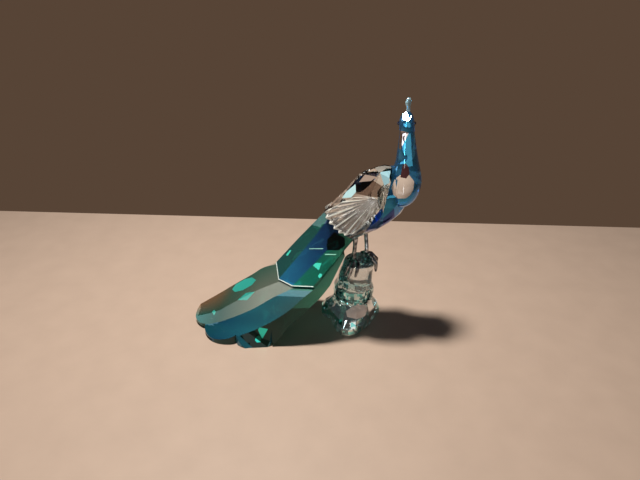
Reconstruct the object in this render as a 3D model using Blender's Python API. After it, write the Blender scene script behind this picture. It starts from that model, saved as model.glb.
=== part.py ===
"""Peacock figurine in cut crystal on a crystal stump. Written in millimetres and scaled to metres.

The bird faces +X, +Z is up and -Y is its right side. The origin ends up under the middle of the box.
Names ending in _XZ hold (x, z) points of a profile. Stations run from the body to the tip.
"""

import math

import bmesh
import bpy
import numpy as np
from mathutils import Matrix, Vector
from mathutils.bvhtree import BVHTree

MM = 0.001
GAP = 0.30

# Body: the back and belly profiles, and the half width of each station.
BACK_XZ = [
    (-20.0, 73.0),
    (-12.0, 81.6),
    (-4.0, 90.6),
    (3.2, 98.9),
    (9.8, 102.6),
    (17.0, 103.8),
    (25.0, 103.0),
]
BELLY_XZ = [(0.5, 59.5), (5.0, 63.4), (10.0, 65.8), (15.5, 68.4), (21.0, 71.5), (27.0, 77.0), (32.0, 84.0)]
BODY_HALF_WIDTHS = [11.5, 14.6, 16.6, 17.0, 15.6, 12.8, 8.0]
BODY_SIDES = 12

# The glued faces: breast to body, and tail to body, each by two points of its plane.
BREAST_FACE_XZ = [(11.0, 64.0), (20.6, 104.3)]
TAIL_FACE_XZ = [(3.6, 60.8), (-18.4, 78.2)]

# Breast: height, front of the outline, half width. It is cut by the breast face at the back.
BREAST_ROWS = [
    (65.4, 11.6, 1.5),
    (67.8, 15.4, 4.6),
    (72.0, 21.8, 8.2),
    (77.5, 27.0, 11.0),
    (84.0, 31.4, 12.9),
    (91.0, 34.2, 13.0),
    (97.5, 35.0, 10.6),
    (103.0, 31.5, 6.4),
]
BREAST_SIDES = 10

# Neck and head: height, middle x, middle y, half width across, half width front to back.
NECK_ROWS = [
    (80.8, 25.2, -1.0, 1.4, 2.6),
    (82.2, 25.4, -1.0, 3.8, 6.4),
    (86.2, 26.6, -1.0, 6.8, 10.0),
    (91.5, 28.0, -1.0, 8.4, 11.9),
    (97.0, 28.7, -0.8, 8.5, 11.2),
    (102.0, 28.6, -0.6, 7.7, 8.9),
    (107.0, 28.6, -0.8, 6.3, 6.7),
    (113.0, 28.0, -1.2, 5.3, 5.4),
    (118.5, 27.6, -1.2, 4.5, 4.6),
    (122.8, 27.3, -0.6, 4.0, 4.3),
    (126.4, 27.1, 0.6, 4.15, 5.4),
    (129.4, 26.9, 0.9, 3.7, 5.2),
    (131.8, 27.0, 0.7, 2.7, 3.8),
    (133.2, 27.2, 0.5, 1.3, 1.8),
]
NECK_SIDES = 18
BEAK_BASE = (27.1, 4.2, 127.0)
BEAK_TIP = (27.3, 13.2, 123.6)
BEAK_RADII = [2.3, 1.55, 0.8, 0.25]
BEAK_ARCH = 0.7
EYE_RADIUS = 1.15
EYE_PLACES = {"eye_right": (31.1, 2.0, 126.9), "eye_left": (23.1, 2.0, 126.9)}

# Crest: a fan seen edge-on from the side, across the way that the head looks.
CREST_FOOT = (27.2, 0.6, 133.75)
CREST_LENGTH = 6.6
CREST_SPREAD_DEG = 66.0
CREST_TURN_DEG = 28.0
CREST_FEATHERS = 5
CREST_LEAN = -0.06
CREST_STALK = 0.50
CREST_BASE = 1.0
CREST_SINK = 0.1
CREST_CLEAR = 0.12

# Wings: three points of the near wing's outer face, and its edge as (degrees round the pivot, reach).
WING_PIVOT = (12.2, -12.6, 89.8)
WING_TIP = (-17.3, -2.6, 77.2)
WING_LOW = (-3.0, -13.8, 68.8)
WING_EDGE = [
    (-26.0, 5.0),
    (-22.0, 8.0),
    (-18.0, 12.4),
    (-13.0, 16.4),
    (-7.0, 22.0),
    (0.0, 32.0),
    (8.0, 31.6),
    (16.0, 30.4),
    (24.0, 29.4),
    (32.0, 27.8),
    (39.0, 25.0),
    (44.0, 19.8),
    (50.0, 13.4),
    (58.0, 9.6),
    (68.0, 7.0),
    (80.0, 5.0),
]
WING_RIBS = 15
WING_RING_STEPS = 4
WING_EDGE_THICK = 1.4
WING_CROWN = 1.7
WING_RIDGE = 0.36
WING_SCALLOP = 1.1

# Tail: lines along its facets, near to far, one (x, y, z) for each of the three coverts stations.
COVERTS_LINES = {
    "flank": [(1.2, -11.0, 66.4), (-6.8, -13.2, 56.9), (-22.8, -20.0, 38.6)],
    "streak_near": [(-5.7, -6.0, 70.6), (-13.6, -8.0, 57.5), (-35.4, -11.2, 33.6)],
    "streak_far": [(-13.0, -1.0, 74.5), (-23.5, -1.0, 59.1), (-44.2, -2.2, 32.7)],
    "ridge": [(-17.0, 0.8, 75.4), (-30.7, 5.0, 58.4), (-46.0, 6.0, 40.0)],
}
# Train: the same lines go on from the coverts' end to the tip.
TRAIN_LINES = {
    "flank": [
        (-29.7, -21.0, 30.4),
        (-37.5, -21.6, 22.8),
        (-48.6, -22.2, 15.0),
        (-61.7, -22.4, 8.0),
        (-82.0, -26.0, 1.8),
    ],
    "streak_near": [
        (-47.2, -11.6, 25.6),
        (-58.9, -11.2, 17.6),
        (-72.6, -10.2, 10.2),
        (-83.7, -9.2, 5.4),
        (-100.0, -8.0, 1.8),
    ],
    "streak_far": [
        (-57.4, 0.0, 23.7),
        (-68.5, 1.4, 16.4),
        (-78.6, 1.6, 10.2),
        (-86.0, 1.0, 6.4),
        (-104.0, 0.5, 2.0),
    ],
    "ridge": [
        (-53.9, 8.0, 35.3),
        (-62.3, 10.0, 28.7),
        (-73.9, 11.6, 20.6),
        (-86.2, 10.6, 13.0),
        (-106.0, 7.0, 2.4),
    ],
}
# The lower edge of the near side, and how far the far side mirrors it.
UNDER_LINE = [
    (-4.6, -13.8, 55.4),
    (-13.0, -17.0, 37.4),
    (-18.8, -20.0, 31.0),
    (-27.0, -22.0, 23.0),
    (-37.6, -24.0, 12.8),
    (-50.0, -26.0, 0.0),
    (-84.0, -31.0, 0.0),
]
TAIL_MIDDLE_Y = 1.5
FAR_SHARES = [0.0, 0.75, 1.0]
COVERTS_STEP = 1.6
COVERTS_DEPTHS = [1.2, 4.2, 4.2, 4.2, 4.2, 1.2]
COVERTS_OUT_XZ = (-0.62, 0.785)
FAR_BULGE = 3.0

# The scalloped end: where the notches stand on the table, and how far each lobe swells past them.
LOBE_NOTCHES_XY = [
    (-47.6, -23.2),
    (-69.3, -21.9),
    (-90.4, -8.2),
    (-88.4, 14.0),
    (-70.0, 23.6),
    (-49.0, 26.6),
]
LOBE_SWELLS = [5.6, 7.0, 9.6, 6.2, 4.6]
LOBE_STEPS = 9
LOBE_MARGIN = 12.0
LOBE_RELIEF = 3.6

# Stump: height, middle x, middle y, radius; the lobes round its foot by angle, reach and width.
STUMP_ROWS = [
    (0.0, 1.5, 1.5, 12.2),
    (1.6, 1.5, 1.5, 13.4),
    (6.0, 1.5, 1.5, 13.6),
    (11.0, 1.6, 1.5, 13.4),
    (15.0, 1.7, 1.5, 12.4),
    (18.0, 1.9, 1.4, 11.2),
    (20.0, 2.0, 1.4, 11.6),
    (23.0, 2.1, 1.3, 12.6),
    (27.0, 2.2, 1.2, 12.1),
    (31.0, 2.5, 1.0, 10.9),
    (36.0, 3.1, 0.8, 10.1),
    (41.0, 4.2, 0.6, 9.6),
    (44.2, 5.0, 0.5, 9.6),
    (45.8, 5.0, 0.5, 8.6),
]
STUMP_SIDES = 26
STUMP_LOBES = [(157.0, 9.2, 15.0), (256.0, 6.6, 30.0), (25.0, 7.2, 22.0), (95.0, 5.6, 26.0)]
STUMP_LOBE_TOP = 17.0
STUMP_CHIP = 0.55

# Legs: where each stands on the stump, where it meets the belly, and the way its toes point.
LEG_RADIUS = 0.85
TOE_RADIUS = 0.80
LEG_FEET = {
    "leg_right": {"foot": (1.2, -4.6), "hip": (1.6, -6.0), "toes": (215.0, 262.0, 305.0)},
    "leg_left": {"foot": (9.4, 3.2), "hip": (8.6, 7.2), "toes": (-62.0, -18.0, 28.0)},
}
SPUR_DEG = {"leg_right": 150.0, "leg_left": 135.0}
TOE_DROP = 7.0
TOE_SPARE = 0.25
TOE_TAPER = [1.19, 1.125, 1.0, 0.875, 0.35]
ANKLE_RADIUS = 1.15
ANKLE_RISE = 3.0
THIGH_RADIUS = 1.35
THIGH_DROP = 4.0
SPUR_REACH = 4.2

COLOURS = {
    "clear_crystal": (0.86, 0.93, 0.94, 1.0),
    "blue_crystal": (0.05, 0.33, 0.72, 1.0),
    "green_crystal": (0.02, 0.38, 0.33, 1.0),
    "emerald_crystal": (0.01, 0.22, 0.24, 1.0),
    "dark_silver": (0.30, 0.31, 0.32, 1.0),
    "black_bead": (0.01, 0.01, 0.02, 1.0),
}

for old in list(bpy.data.objects):
    bpy.data.objects.remove(old, do_unlink=True)


def material(name):
    found = bpy.data.materials.get(name)
    if found:
        return found
    made = bpy.data.materials.new(name)
    made.use_nodes = True
    shader = made.node_tree.nodes["Principled BSDF"]
    shader.inputs["Base Color"].default_value = COLOURS[name]
    shader.inputs["Roughness"].default_value = 0.08
    if "crystal" in name:
        shader.inputs["Transmission Weight"].default_value = 0.9
    if "silver" in name:
        shader.inputs["Metallic"].default_value = 1.0
        shader.inputs["Roughness"].default_value = 0.25
    return made


def add_object(name, bm, material_name):
    """Turns a bmesh in millimetres into an object in metres."""
    bmesh.ops.remove_doubles(bm, verts=bm.verts, dist=0.004)
    bmesh.ops.triangulate(bm, faces=bm.faces)
    bmesh.ops.recalc_face_normals(bm, faces=bm.faces)
    mesh = bpy.data.meshes.new(name)
    bm.to_mesh(mesh)
    bm.free()
    mesh.transform(TO_METRES)
    obj = bpy.data.objects.new(name, mesh)
    obj.data.materials.append(material(material_name))
    bpy.context.scene.collection.objects.link(obj)
    return obj


def rings_to_bmesh(rings, banded=False):
    """Skins a list of equal rings. A fan round its middle closes each end, or a band from top to floor."""
    bm = bmesh.new()
    rows = [[bm.verts.new(Vector(p)) for p in ring] for ring in rings]
    for a, b in zip(rows, rows[1:]):
        count = len(a)
        for i in range(count):
            j = (i + 1) % count
            bm.faces.new((a[i], a[j], b[j], b[i]))
    for row in (rows[0], rows[-1]):
        count = len(row)
        if banded:
            for i in range(count // 2 - 1):
                bm.faces.new((row[i], row[i + 1], row[count - 2 - i], row[count - 1 - i]))
            continue
        tip = bm.verts.new(sum((v.co for v in row), Vector()) / count)
        for i in range(count):
            bm.faces.new((row[i], row[(i + 1) % count], tip))
    bmesh.ops.recalc_face_normals(bm, faces=bm.faces)
    return bm


def tube(path, radii, sides=8):
    """A closed tube along a path of points, with one radius for each."""
    rings = []
    points = [Vector(p) for p in path]
    side = None
    for i, p in enumerate(points):
        before = points[max(i - 1, 0)]
        after = points[min(i + 1, len(points) - 1)]
        along = (after - before).normalized()
        if side is None:
            side = along.orthogonal().normalized()
        side = (side - along * side.dot(along)).normalized()
        up = along.cross(side)
        rings.append(
            [
                p + (side * math.cos(a) + up * math.sin(a)) * radii[i]
                for a in (2 * math.pi * k / sides for k in range(sides))
            ]
        )
    return rings_to_bmesh(rings)


def ball(centre, radius, segments=14, rings=9, squash=(1.0, 1.0, 1.0)):
    bm = bmesh.new()
    bmesh.ops.create_uvsphere(bm, u_segments=segments, v_segments=rings, radius=radius)
    for v in bm.verts:
        v.co = Vector(centre) + Vector([v.co[k] * squash[k] for k in range(3)])
    return bm


def combine(first, second, operation):
    """One exact boolean of two bmeshes in millimetres. Both are used up."""
    made = []
    for bm in (first, second):
        mesh = bpy.data.meshes.new("scratch")
        bmesh.ops.triangulate(bm, faces=bm.faces)
        bmesh.ops.recalc_face_normals(bm, faces=bm.faces)
        bm.to_mesh(mesh)
        bm.free()
        obj = bpy.data.objects.new("scratch", mesh)
        bpy.context.scene.collection.objects.link(obj)
        made.append(obj)
    modifier = made[0].modifiers.new("cut", "BOOLEAN")
    modifier.operation = operation
    modifier.solver = "EXACT"
    modifier.object = made[1]
    bpy.context.view_layer.update()
    graph = bpy.context.evaluated_depsgraph_get()
    result = bmesh.new()
    result.from_mesh(made[0].evaluated_get(graph).to_mesh())
    for obj in made:
        mesh = obj.data
        bpy.data.objects.remove(obj, do_unlink=True)
        bpy.data.meshes.remove(mesh)
    bmesh.ops.remove_doubles(result, verts=result.verts, dist=0.002)
    bmesh.ops.dissolve_degenerate(result, dist=0.002, edges=result.edges)
    return result


def slice_off(bm, point, normal):
    """Cuts away what lies on the normal's side of a plane, and closes the cut."""
    geometry = bm.verts[:] + bm.edges[:] + bm.faces[:]
    cut = bmesh.ops.bisect_plane(
        bm, geom=geometry, dist=0.0001, plane_co=Vector(point), plane_no=Vector(normal), clear_outer=True
    )
    edges = [g for g in cut["geom_cut"] if isinstance(g, bmesh.types.BMEdge)]
    bmesh.ops.holes_fill(bm, edges=edges, sides=0)
    bmesh.ops.recalc_face_normals(bm, faces=bm.faces)
    return bm


def plane_of(face_xz, shift):
    """A plane across the bird through two (x, z) points, moved by shift towards its normal."""
    (x0, z0), (x1, z1) = face_xz
    along = Vector((x1 - x0, 0.0, z1 - z0)).normalized()
    normal = Vector((along.z, 0.0, -along.x))
    return Vector((x0, 0.0, z0)) + normal * shift, normal


def wing_axes(side):
    """The wing's pivot, the way to its tip, the way to its low edge, and the way out of its face."""
    flip = Vector((1.0, -side, 1.0))
    pivot, tip, low = [Vector([p[k] * flip[k] for k in range(3)]) for p in (WING_PIVOT, WING_TIP, WING_LOW)]
    to_tip = (tip - pivot).normalized()
    to_low = (low - pivot) - to_tip * (low - pivot).dot(to_tip)
    to_low.normalize()
    normal = to_tip.cross(to_low)
    if normal.y * side < 0:
        normal = -normal
    return pivot, to_tip, to_low, normal


def build_body():
    rings = []
    for k, ((xt, zt), (xb, zb), half) in enumerate(zip(BACK_XZ, BELLY_XZ, BODY_HALF_WIDTHS)):
        middle = Vector(((xt + xb) / 2, 0.0, (zt + zb) / 2))
        up = Vector(((xt - xb) / 2, 0.0, (zt - zb) / 2))
        turn = 0.5 * (k % 2)
        grow = 1.0 + 0.035 * (k % 2)
        ring = []
        for i in range(BODY_SIDES):
            a = 2 * math.pi * (i + turn) / BODY_SIDES
            ring.append(middle + up * (math.cos(a) * grow) + Vector((0.0, math.sin(a) * half * grow, 0.0)))
        rings.append(ring)
    bm = rings_to_bmesh(rings)
    bmesh.ops.triangulate(bm, faces=bm.faces)
    point, normal = plane_of(BREAST_FACE_XZ, -GAP / 2)
    slice_off(bm, point, normal)
    point, normal = plane_of(TAIL_FACE_XZ, GAP / 2)
    slice_off(bm, point, -normal)
    for side in (-1, 1):
        pivot, _, _, normal = wing_axes(side)
        slice_off(bm, pivot - normal * (WING_EDGE_THICK + GAP), normal)
    return bm


def build_neck_and_breast():
    (x0, z0), (x1, z1) = BREAST_FACE_XZ
    rings = []
    for k, (z, front, half) in enumerate(BREAST_ROWS):
        face = x0 + (z - z0) * (x1 - x0) / (z1 - z0)
        middle = face + 1.5
        reach = max(front - middle, 1.0)
        turn = 0.5 * (k % 2)
        grow = 1.0 + 0.05 * (k % 2)
        ring = []
        for i in range(BREAST_SIDES):
            a = 2 * math.pi * (i + turn) / BREAST_SIDES
            ring.append((middle + math.cos(a) * reach * grow, math.sin(a) * half * grow, z))
        rings.append(ring)
    breast = rings_to_bmesh(rings)
    bmesh.ops.triangulate(breast, faces=breast.faces)
    point, normal = plane_of(BREAST_FACE_XZ, GAP / 2)
    slice_off(breast, point, -normal)
    rings = []
    for z, x, y, across, deep in NECK_ROWS:
        ring = []
        for i in range(NECK_SIDES):
            a = 2 * math.pi * i / NECK_SIDES
            ring.append((x + math.cos(a) * across, y + math.sin(a) * deep, z))
        rings.append(ring)
    neck = rings_to_bmesh(rings)
    base, tip = Vector(BEAK_BASE), Vector(BEAK_TIP)
    along = tip - base
    up = Vector((0.0, 0.0, BEAK_ARCH))
    beak_path = [base, base + along * 0.45 + up, base + along * 0.85 + up * 0.6, tip]
    beak = tube(beak_path, BEAK_RADII, sides=10)
    whole = combine(breast, neck, "UNION")
    whole = combine(whole, beak, "UNION")
    for place in EYE_PLACES.values():
        whole = combine(whole, ball(place, EYE_RADIUS + GAP), "DIFFERENCE")
    return whole


def build_crest():
    foot = Vector(CREST_FOOT)
    start = foot + Vector((0.0, 0.0, CREST_STALK))
    whole = ball(start, CREST_BASE, segments=12, rings=7, squash=(0.9, 1.2, 0.9))
    bead_share = 0.80
    step = math.radians(CREST_SPREAD_DEG) / (CREST_FEATHERS - 1)
    bead = (CREST_LENGTH * 0.9 * bead_share * step - CREST_CLEAR) / 2
    for k in range(CREST_FEATHERS):
        share = 2.0 * k / (CREST_FEATHERS - 1) - 1.0
        a = math.radians(CREST_SPREAD_DEG / 2) * share
        reach = CREST_LENGTH * (1.0 - 0.10 * share * share)
        turn = math.radians(CREST_TURN_DEG)
        fan = math.sin(a)
        way = Vector((fan * math.sin(turn) + CREST_LEAN, fan * math.cos(turn), math.cos(a))).normalized()
        path = [start + way * (reach * share) for share in (0.0, 0.55, bead_share, 0.92)]
        radii = [CREST_STALK * 0.9, CREST_STALK, bead, CREST_STALK * 0.56]
        whole = combine(whole, tube(path, radii, sides=7), "UNION")
    slice_off(whole, foot - Vector((0.0, 0.0, CREST_SINK)), (0, 0, -1))
    return whole


def build_wing(side):
    """A fan of ribs round a pivot: flat where it is glued to the body, and ridged and crowned outside."""
    pivot, to_tip, to_low, normal = wing_axes(side)
    edge_deg, edge_reach = zip(*WING_EDGE)
    first, last = edge_deg[0], edge_deg[-1]
    columns = 2 * WING_RIBS
    bm = bmesh.new()
    outer, inner = [], []
    for c in range(columns + 1):
        share = c / columns
        angle = math.radians(first + (last - first) * share)
        reach = float(np.interp(math.degrees(angle), edge_deg, edge_reach))
        wave = (1.0 if c % 2 else -1.0) * min(1.0, reach / 22.0)
        if 0 < c < columns:
            reach += WING_SCALLOP * wave / 2
        ray = to_tip * math.cos(angle) + to_low * math.sin(angle)
        out_row, in_row = [], []
        for s in range(1, WING_RING_STEPS + 1):
            f = s / WING_RING_STEPS
            rise = WING_CROWN * math.sin(math.pi * f) * math.sin(math.pi * share) + WING_RIDGE * wave * f
            place = pivot + ray * (reach * f)
            out_row.append(bm.verts.new(place + normal * max(rise, -0.4)))
            in_row.append(bm.verts.new(place - normal * WING_EDGE_THICK))
        outer.append(out_row)
        inner.append(in_row)
    pivot_out = bm.verts.new(pivot + normal * 0.5)
    pivot_in = bm.verts.new(pivot - normal * WING_EDGE_THICK)
    for c in range(columns):
        bm.faces.new((pivot_out, outer[c][0], outer[c + 1][0]))
        bm.faces.new((pivot_in, inner[c + 1][0], inner[c][0]))
        for s in range(WING_RING_STEPS - 1):
            bm.faces.new((outer[c][s], outer[c][s + 1], outer[c + 1][s + 1], outer[c + 1][s]))
            bm.faces.new((inner[c][s], inner[c + 1][s], inner[c + 1][s + 1], inner[c][s + 1]))
        bm.faces.new((outer[c][-1], inner[c][-1], inner[c + 1][-1], outer[c + 1][-1]))
    for c in (0, columns):
        bm.faces.new((pivot_out, outer[c][0], inner[c][0], pivot_in))
        for s in range(WING_RING_STEPS - 1):
            bm.faces.new((outer[c][s], outer[c][s + 1], inner[c][s + 1], inner[c][s]))
    bmesh.ops.recalc_face_normals(bm, faces=bm.faces)
    return bm


def far_side(flank, ridge, share):
    """The two far lines of a station: the mirrored flank, and a swelling between it and the ridge."""
    fx, fy, fz = flank
    flank_far = Vector((fx, 2 * TAIL_MIDDLE_Y * share - fy, fz))
    ridge = Vector(ridge)
    between = (flank_far + ridge) / 2 + Vector((-0.35, 0.75, 0.56)) * (FAR_BULGE * share)
    return between, flank_far


def top_line(lines, k):
    """The points across the top at one station, near to far."""
    row = [Vector(lines[name][k]) for name in ("flank", "streak_near", "streak_far", "ridge")]
    share = FAR_SHARES[k] if lines is COVERTS_LINES else 1.0
    between, flank_far = far_side(lines["flank"][k], lines["ridge"][k], share)
    return row + [between, flank_far]


def coverts_end():
    return top_line(COVERTS_LINES, 2)


def seat_line(k, drop):
    """The floor of the coverts at a station: straight across from flank to far flank, and lower by drop."""
    top = top_line(COVERTS_LINES, k)
    near, far = top[0], top[-1]
    out = Vector((COVERTS_OUT_XZ[0], 0.0, COVERTS_OUT_XZ[1]))
    row = []
    for i in range(len(top)):
        f = 0.04 + 0.92 * i / (len(top) - 1)
        row.append(near.lerp(far, f) - out * drop)
    return row


def build_coverts():
    out = Vector((COVERTS_OUT_XZ[0], 0.0, COVERTS_OUT_XZ[1]))
    rings = []
    start = Vector((0.62, 0.0, 0.785)) * 9.0
    top = [p + start for p in top_line(COVERTS_LINES, 0)]
    low = [p + start for p in seat_line(0, 0.9)]
    rings.append(top + low[::-1])
    rings.append(top_line(COVERTS_LINES, 0) + seat_line(0, 0.9)[::-1])
    rings.append(top_line(COVERTS_LINES, 1) + seat_line(1, 0.9)[::-1])
    end = coverts_end()
    rings.append(end + [p - out * deep for p, deep in zip(end, COVERTS_DEPTHS)][::-1])
    bm = rings_to_bmesh(rings, banded=True)
    bmesh.ops.triangulate(bm, faces=bm.faces)
    point, normal = plane_of(TAIL_FACE_XZ, -GAP / 2)
    slice_off(bm, point, normal)
    return bm


def mirrored(point):
    return Vector((point[0], 2 * TAIL_MIDDLE_Y - point[1], point[2]))


def lobe_outline():
    """The end of the train seen from above: an arc of a circle bulging out between each two notches."""
    points = []
    for k, swell in enumerate(LOBE_SWELLS):
        a, b = Vector(LOBE_NOTCHES_XY[k]), Vector(LOBE_NOTCHES_XY[k + 1])
        chord = b - a
        outward = Vector((chord.y, -chord.x)).normalized()
        if outward.dot((a + b) / 2 - Vector((-45.0, 0.0))) < 0:
            outward = -outward
        for s in range(LOBE_STEPS):
            f = s / LOBE_STEPS
            bulge = swell * (math.sin(math.pi * f) ** 0.62)
            points.append(a + chord * f + outward * bulge)
    points.append(Vector(LOBE_NOTCHES_XY[-1]))
    return points


def build_train():
    out = Vector((COVERTS_OUT_XZ[0], 0.0, COVERTS_OUT_XZ[1]))
    down = Vector((-out.z, 0.0, out.x))
    under = [Vector(p) for p in UNDER_LINE]
    rings = []

    def ring(near, top):
        rings.append([near] + top + [mirrored(near)])

    end = coverts_end()
    ring(under[0], seat_line(1, 0.9 + GAP))
    ring(under[1], [p - out * (deep + GAP) + down * GAP for p, deep in zip(end, COVERTS_DEPTHS)])
    ring(under[1] + (under[2] - under[1]) * 0.15, [p - out * COVERTS_STEP + down * GAP for p in end])
    for k in range(len(TRAIN_LINES["ridge"])):
        ring(under[k + 2], top_line(TRAIN_LINES, k))
    bm = rings_to_bmesh(rings)
    prism = bmesh.new()
    lobes = lobe_outline()
    front = max(p.x for row in rings for p in row) + LOBE_MARGIN
    wide = max(abs(p.y) for row in rings for p in row) + LOBE_MARGIN
    over = max(p.z for row in rings for p in row) + LOBE_MARGIN
    waist = max(lobes[0].x, lobes[-1].x) + LOBE_RELIEF
    near_side = [Vector((front, -wide)), Vector((waist, -wide))]
    far_side_corners = [Vector((waist, wide)), Vector((front, wide))]
    outline = near_side + lobes + far_side_corners
    low = [prism.verts.new((p.x, p.y, 0.0)) for p in outline]
    high = [prism.verts.new((p.x, p.y, over)) for p in outline]
    for i in range(len(outline)):
        j = (i + 1) % len(outline)
        prism.faces.new((low[i], low[j], high[j], high[i]))
    prism.faces.new(low)
    prism.faces.new(high)
    return combine(bm, prism, "INTERSECT")


def stump_ring(row, lift=0.0):
    """One ring of the stump. Its foot has lobes, and its sides have shallow chips."""
    z, x, y, radius = row
    share = max(0.0, 1.0 - z / STUMP_LOBE_TOP)
    points = []
    for i in range(STUMP_SIDES):
        a = 2 * math.pi * i / STUMP_SIDES
        deg = math.degrees(a)
        r = radius + lift
        for place, reach, width in STUMP_LOBES:
            turn = (deg - place + 180.0) % 360.0 - 180.0
            r += reach * math.exp(-((turn / width) ** 2)) * min(1.0, share * 1.6) ** 0.8
        if 3.0 < z < 40.0:
            r += STUMP_CHIP * math.sin(5.0 * a + 0.45 * z) * math.cos(3.0 * a - 0.3 * z)
        points.append(Vector((x + r * math.cos(a), y + r * math.sin(a), z)))
    return points


def build_stump():
    return rings_to_bmesh([stump_ring(row) for row in STUMP_ROWS])


def stump_at(z):
    rows = np.array(STUMP_ROWS)
    return [float(np.interp(z, rows[:, 0], rows[:, k])) for k in range(4)]


def toe_path(start, deg, drop):
    """A toe that runs over the top of the stump and hooks down its side, clear of the crystal."""
    top_z = STUMP_ROWS[-1][0]
    clear = TOE_RADIUS + GAP + TOE_SPARE
    way = Vector((math.cos(math.radians(deg)), math.sin(math.radians(deg))))
    foot = Vector(start)
    _, cx, cy, rim = stump_at(top_z)
    offset = foot - Vector((cx, cy))
    along = -offset.dot(way) + math.sqrt(max(0.0, offset.dot(way) ** 2 - offset.length_squared + rim**2))
    path = [Vector((foot.x, foot.y, top_z + clear + 1.4))]
    path.append(Vector((*(foot + way * along * 0.55), top_z + clear + 0.5)))
    path.append(Vector((*(foot + way * along * 0.98), top_z + clear)))
    rim_point = foot + way * along
    outward = (rim_point - Vector((cx, cy))).normalized()
    for f in (0.0, 0.45, 1.0):
        z = top_z - 0.9 - drop * f
        _, mx, my, r = stump_at(z)
        spare = 0.15 + (0.6 if z < 40.0 else 0.0)
        place = Vector((mx, my)) + outward * (r + clear + spare)
        path.append(Vector((place.x, place.y, z)))
    return path


def build_leg(name, tree):
    spec = LEG_FEET[name]
    foot, hip = Vector(spec["foot"]), Vector(spec["hip"])
    top_z = STUMP_ROWS[-1][0]
    start_z = top_z + TOE_RADIUS + GAP + 1.6
    hit = tree.ray_cast(Vector((hip.x, hip.y, start_z)), Vector((0, 0, 1)))
    hip_z = hit[0].z
    shin_path = [
        (foot.x, foot.y, start_z - 0.2),
        (foot.x, foot.y, start_z + ANKLE_RISE),
        (hip.x, hip.y, hip_z - THIGH_DROP),
        (hip.x, hip.y, hip_z + GAP + LEG_RADIUS * 2),
    ]
    shin = tube(shin_path, [ANKLE_RADIUS, LEG_RADIUS, LEG_RADIUS, THIGH_RADIUS], sides=8)
    radii = [ANKLE_RADIUS] + [TOE_RADIUS * share for share in TOE_TAPER]
    for k, deg in enumerate(spec["toes"]):
        drop = TOE_DROP * (1.0 if k == 1 else 0.72)
        shin = combine(shin, tube(toe_path(spec["foot"], deg, drop), radii, sides=8), "UNION")
    deg = math.radians(SPUR_DEG[name])
    way = Vector((math.cos(deg), math.sin(deg), 0.0))
    ankle = Vector((foot.x, foot.y, start_z))
    back = Vector((foot.x, foot.y, top_z + TOE_RADIUS + GAP + TOE_SPARE)) + way * SPUR_REACH
    spur = tube([ankle + Vector((0, 0, 0.1)), (ankle + back) / 2, back], [1.0, 0.8, 0.35], sides=8)
    return combine(shin, spur, "UNION")


def below(bm, tree):
    """Trims a leg's top to the underside of the body, so that it meets the crystal without entering it."""
    top = max(v.co.z for v in bm.verts)
    for v in bm.verts:
        if v.co.z > top - 0.5:
            hit = tree.ray_cast(Vector((v.co.x, v.co.y, STUMP_ROWS[-1][0])), Vector((0, 0, 1)))
            if hit[0] is not None:
                v.co.z = hit[0].z - GAP
    return bm


TO_METRES = Matrix.Scale(MM, 4)

body = build_body()
breast = build_neck_and_breast()
underside = bmesh.new()
for part in (body, breast):
    scratch = bpy.data.meshes.new("scratch")
    part.to_mesh(scratch)
    underside.from_mesh(scratch)
    bpy.data.meshes.remove(scratch)
underside_tree = BVHTree.FromBMesh(underside)

add_object("stump_stand", build_stump(), "clear_crystal")
for leg in LEG_FEET:
    add_object(leg, below(build_leg(leg, underside_tree), underside_tree), "dark_silver")
add_object("body", body, "clear_crystal")
add_object("neck_and_breast", breast, "blue_crystal")
add_object("crest", build_crest(), "clear_crystal")
for eye, place in EYE_PLACES.items():
    add_object(eye, ball(place, EYE_RADIUS), "black_bead")
add_object("wing_right", build_wing(-1), "clear_crystal")
add_object("wing_left", build_wing(1), "clear_crystal")
add_object("coverts", build_coverts(), "emerald_crystal")
add_object("train", build_train(), "green_crystal")
underside.free()

# Put the origin under the middle of the whole figurine.
low = Vector((1e9, 1e9, 1e9))
high = -low
for obj in bpy.data.objects:
    for v in obj.data.vertices:
        for k in range(3):
            low[k] = min(low[k], v.co[k])
            high[k] = max(high[k], v.co[k])
shift = Vector(((low.x + high.x) / 2, (low.y + high.y) / 2, low.z))
for obj in bpy.data.objects:
    for v in obj.data.vertices:
        v.co -= shift
print("shift_mm", [round(c * 1000, 4) for c in shift])
print("box_mm", [round((high[k] - low[k]) * 1000, 3) for k in range(3)])
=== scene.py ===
# %% [markdown]
# # A cut-crystal peacock
# The bird is glued up from crystals that were cut and polished one by one: a clear back and clear wings, a
# blue neck with a faceted breast, and a long green tail in two steps. Two small metal feet hold it on a rock
# of clear crystal. Glass has no colour of its own to paint on, so most of the work is in three things: flat
# facets with sharp edges, a tint that differs from facet to facet and in part is painted reflections, flashes
# and shade, and a room with bright and dark parts for the crystal to bend.

# %% Tools and the frame
import math

import bmesh
import bpy
import numpy as np
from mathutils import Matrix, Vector, noise


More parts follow.
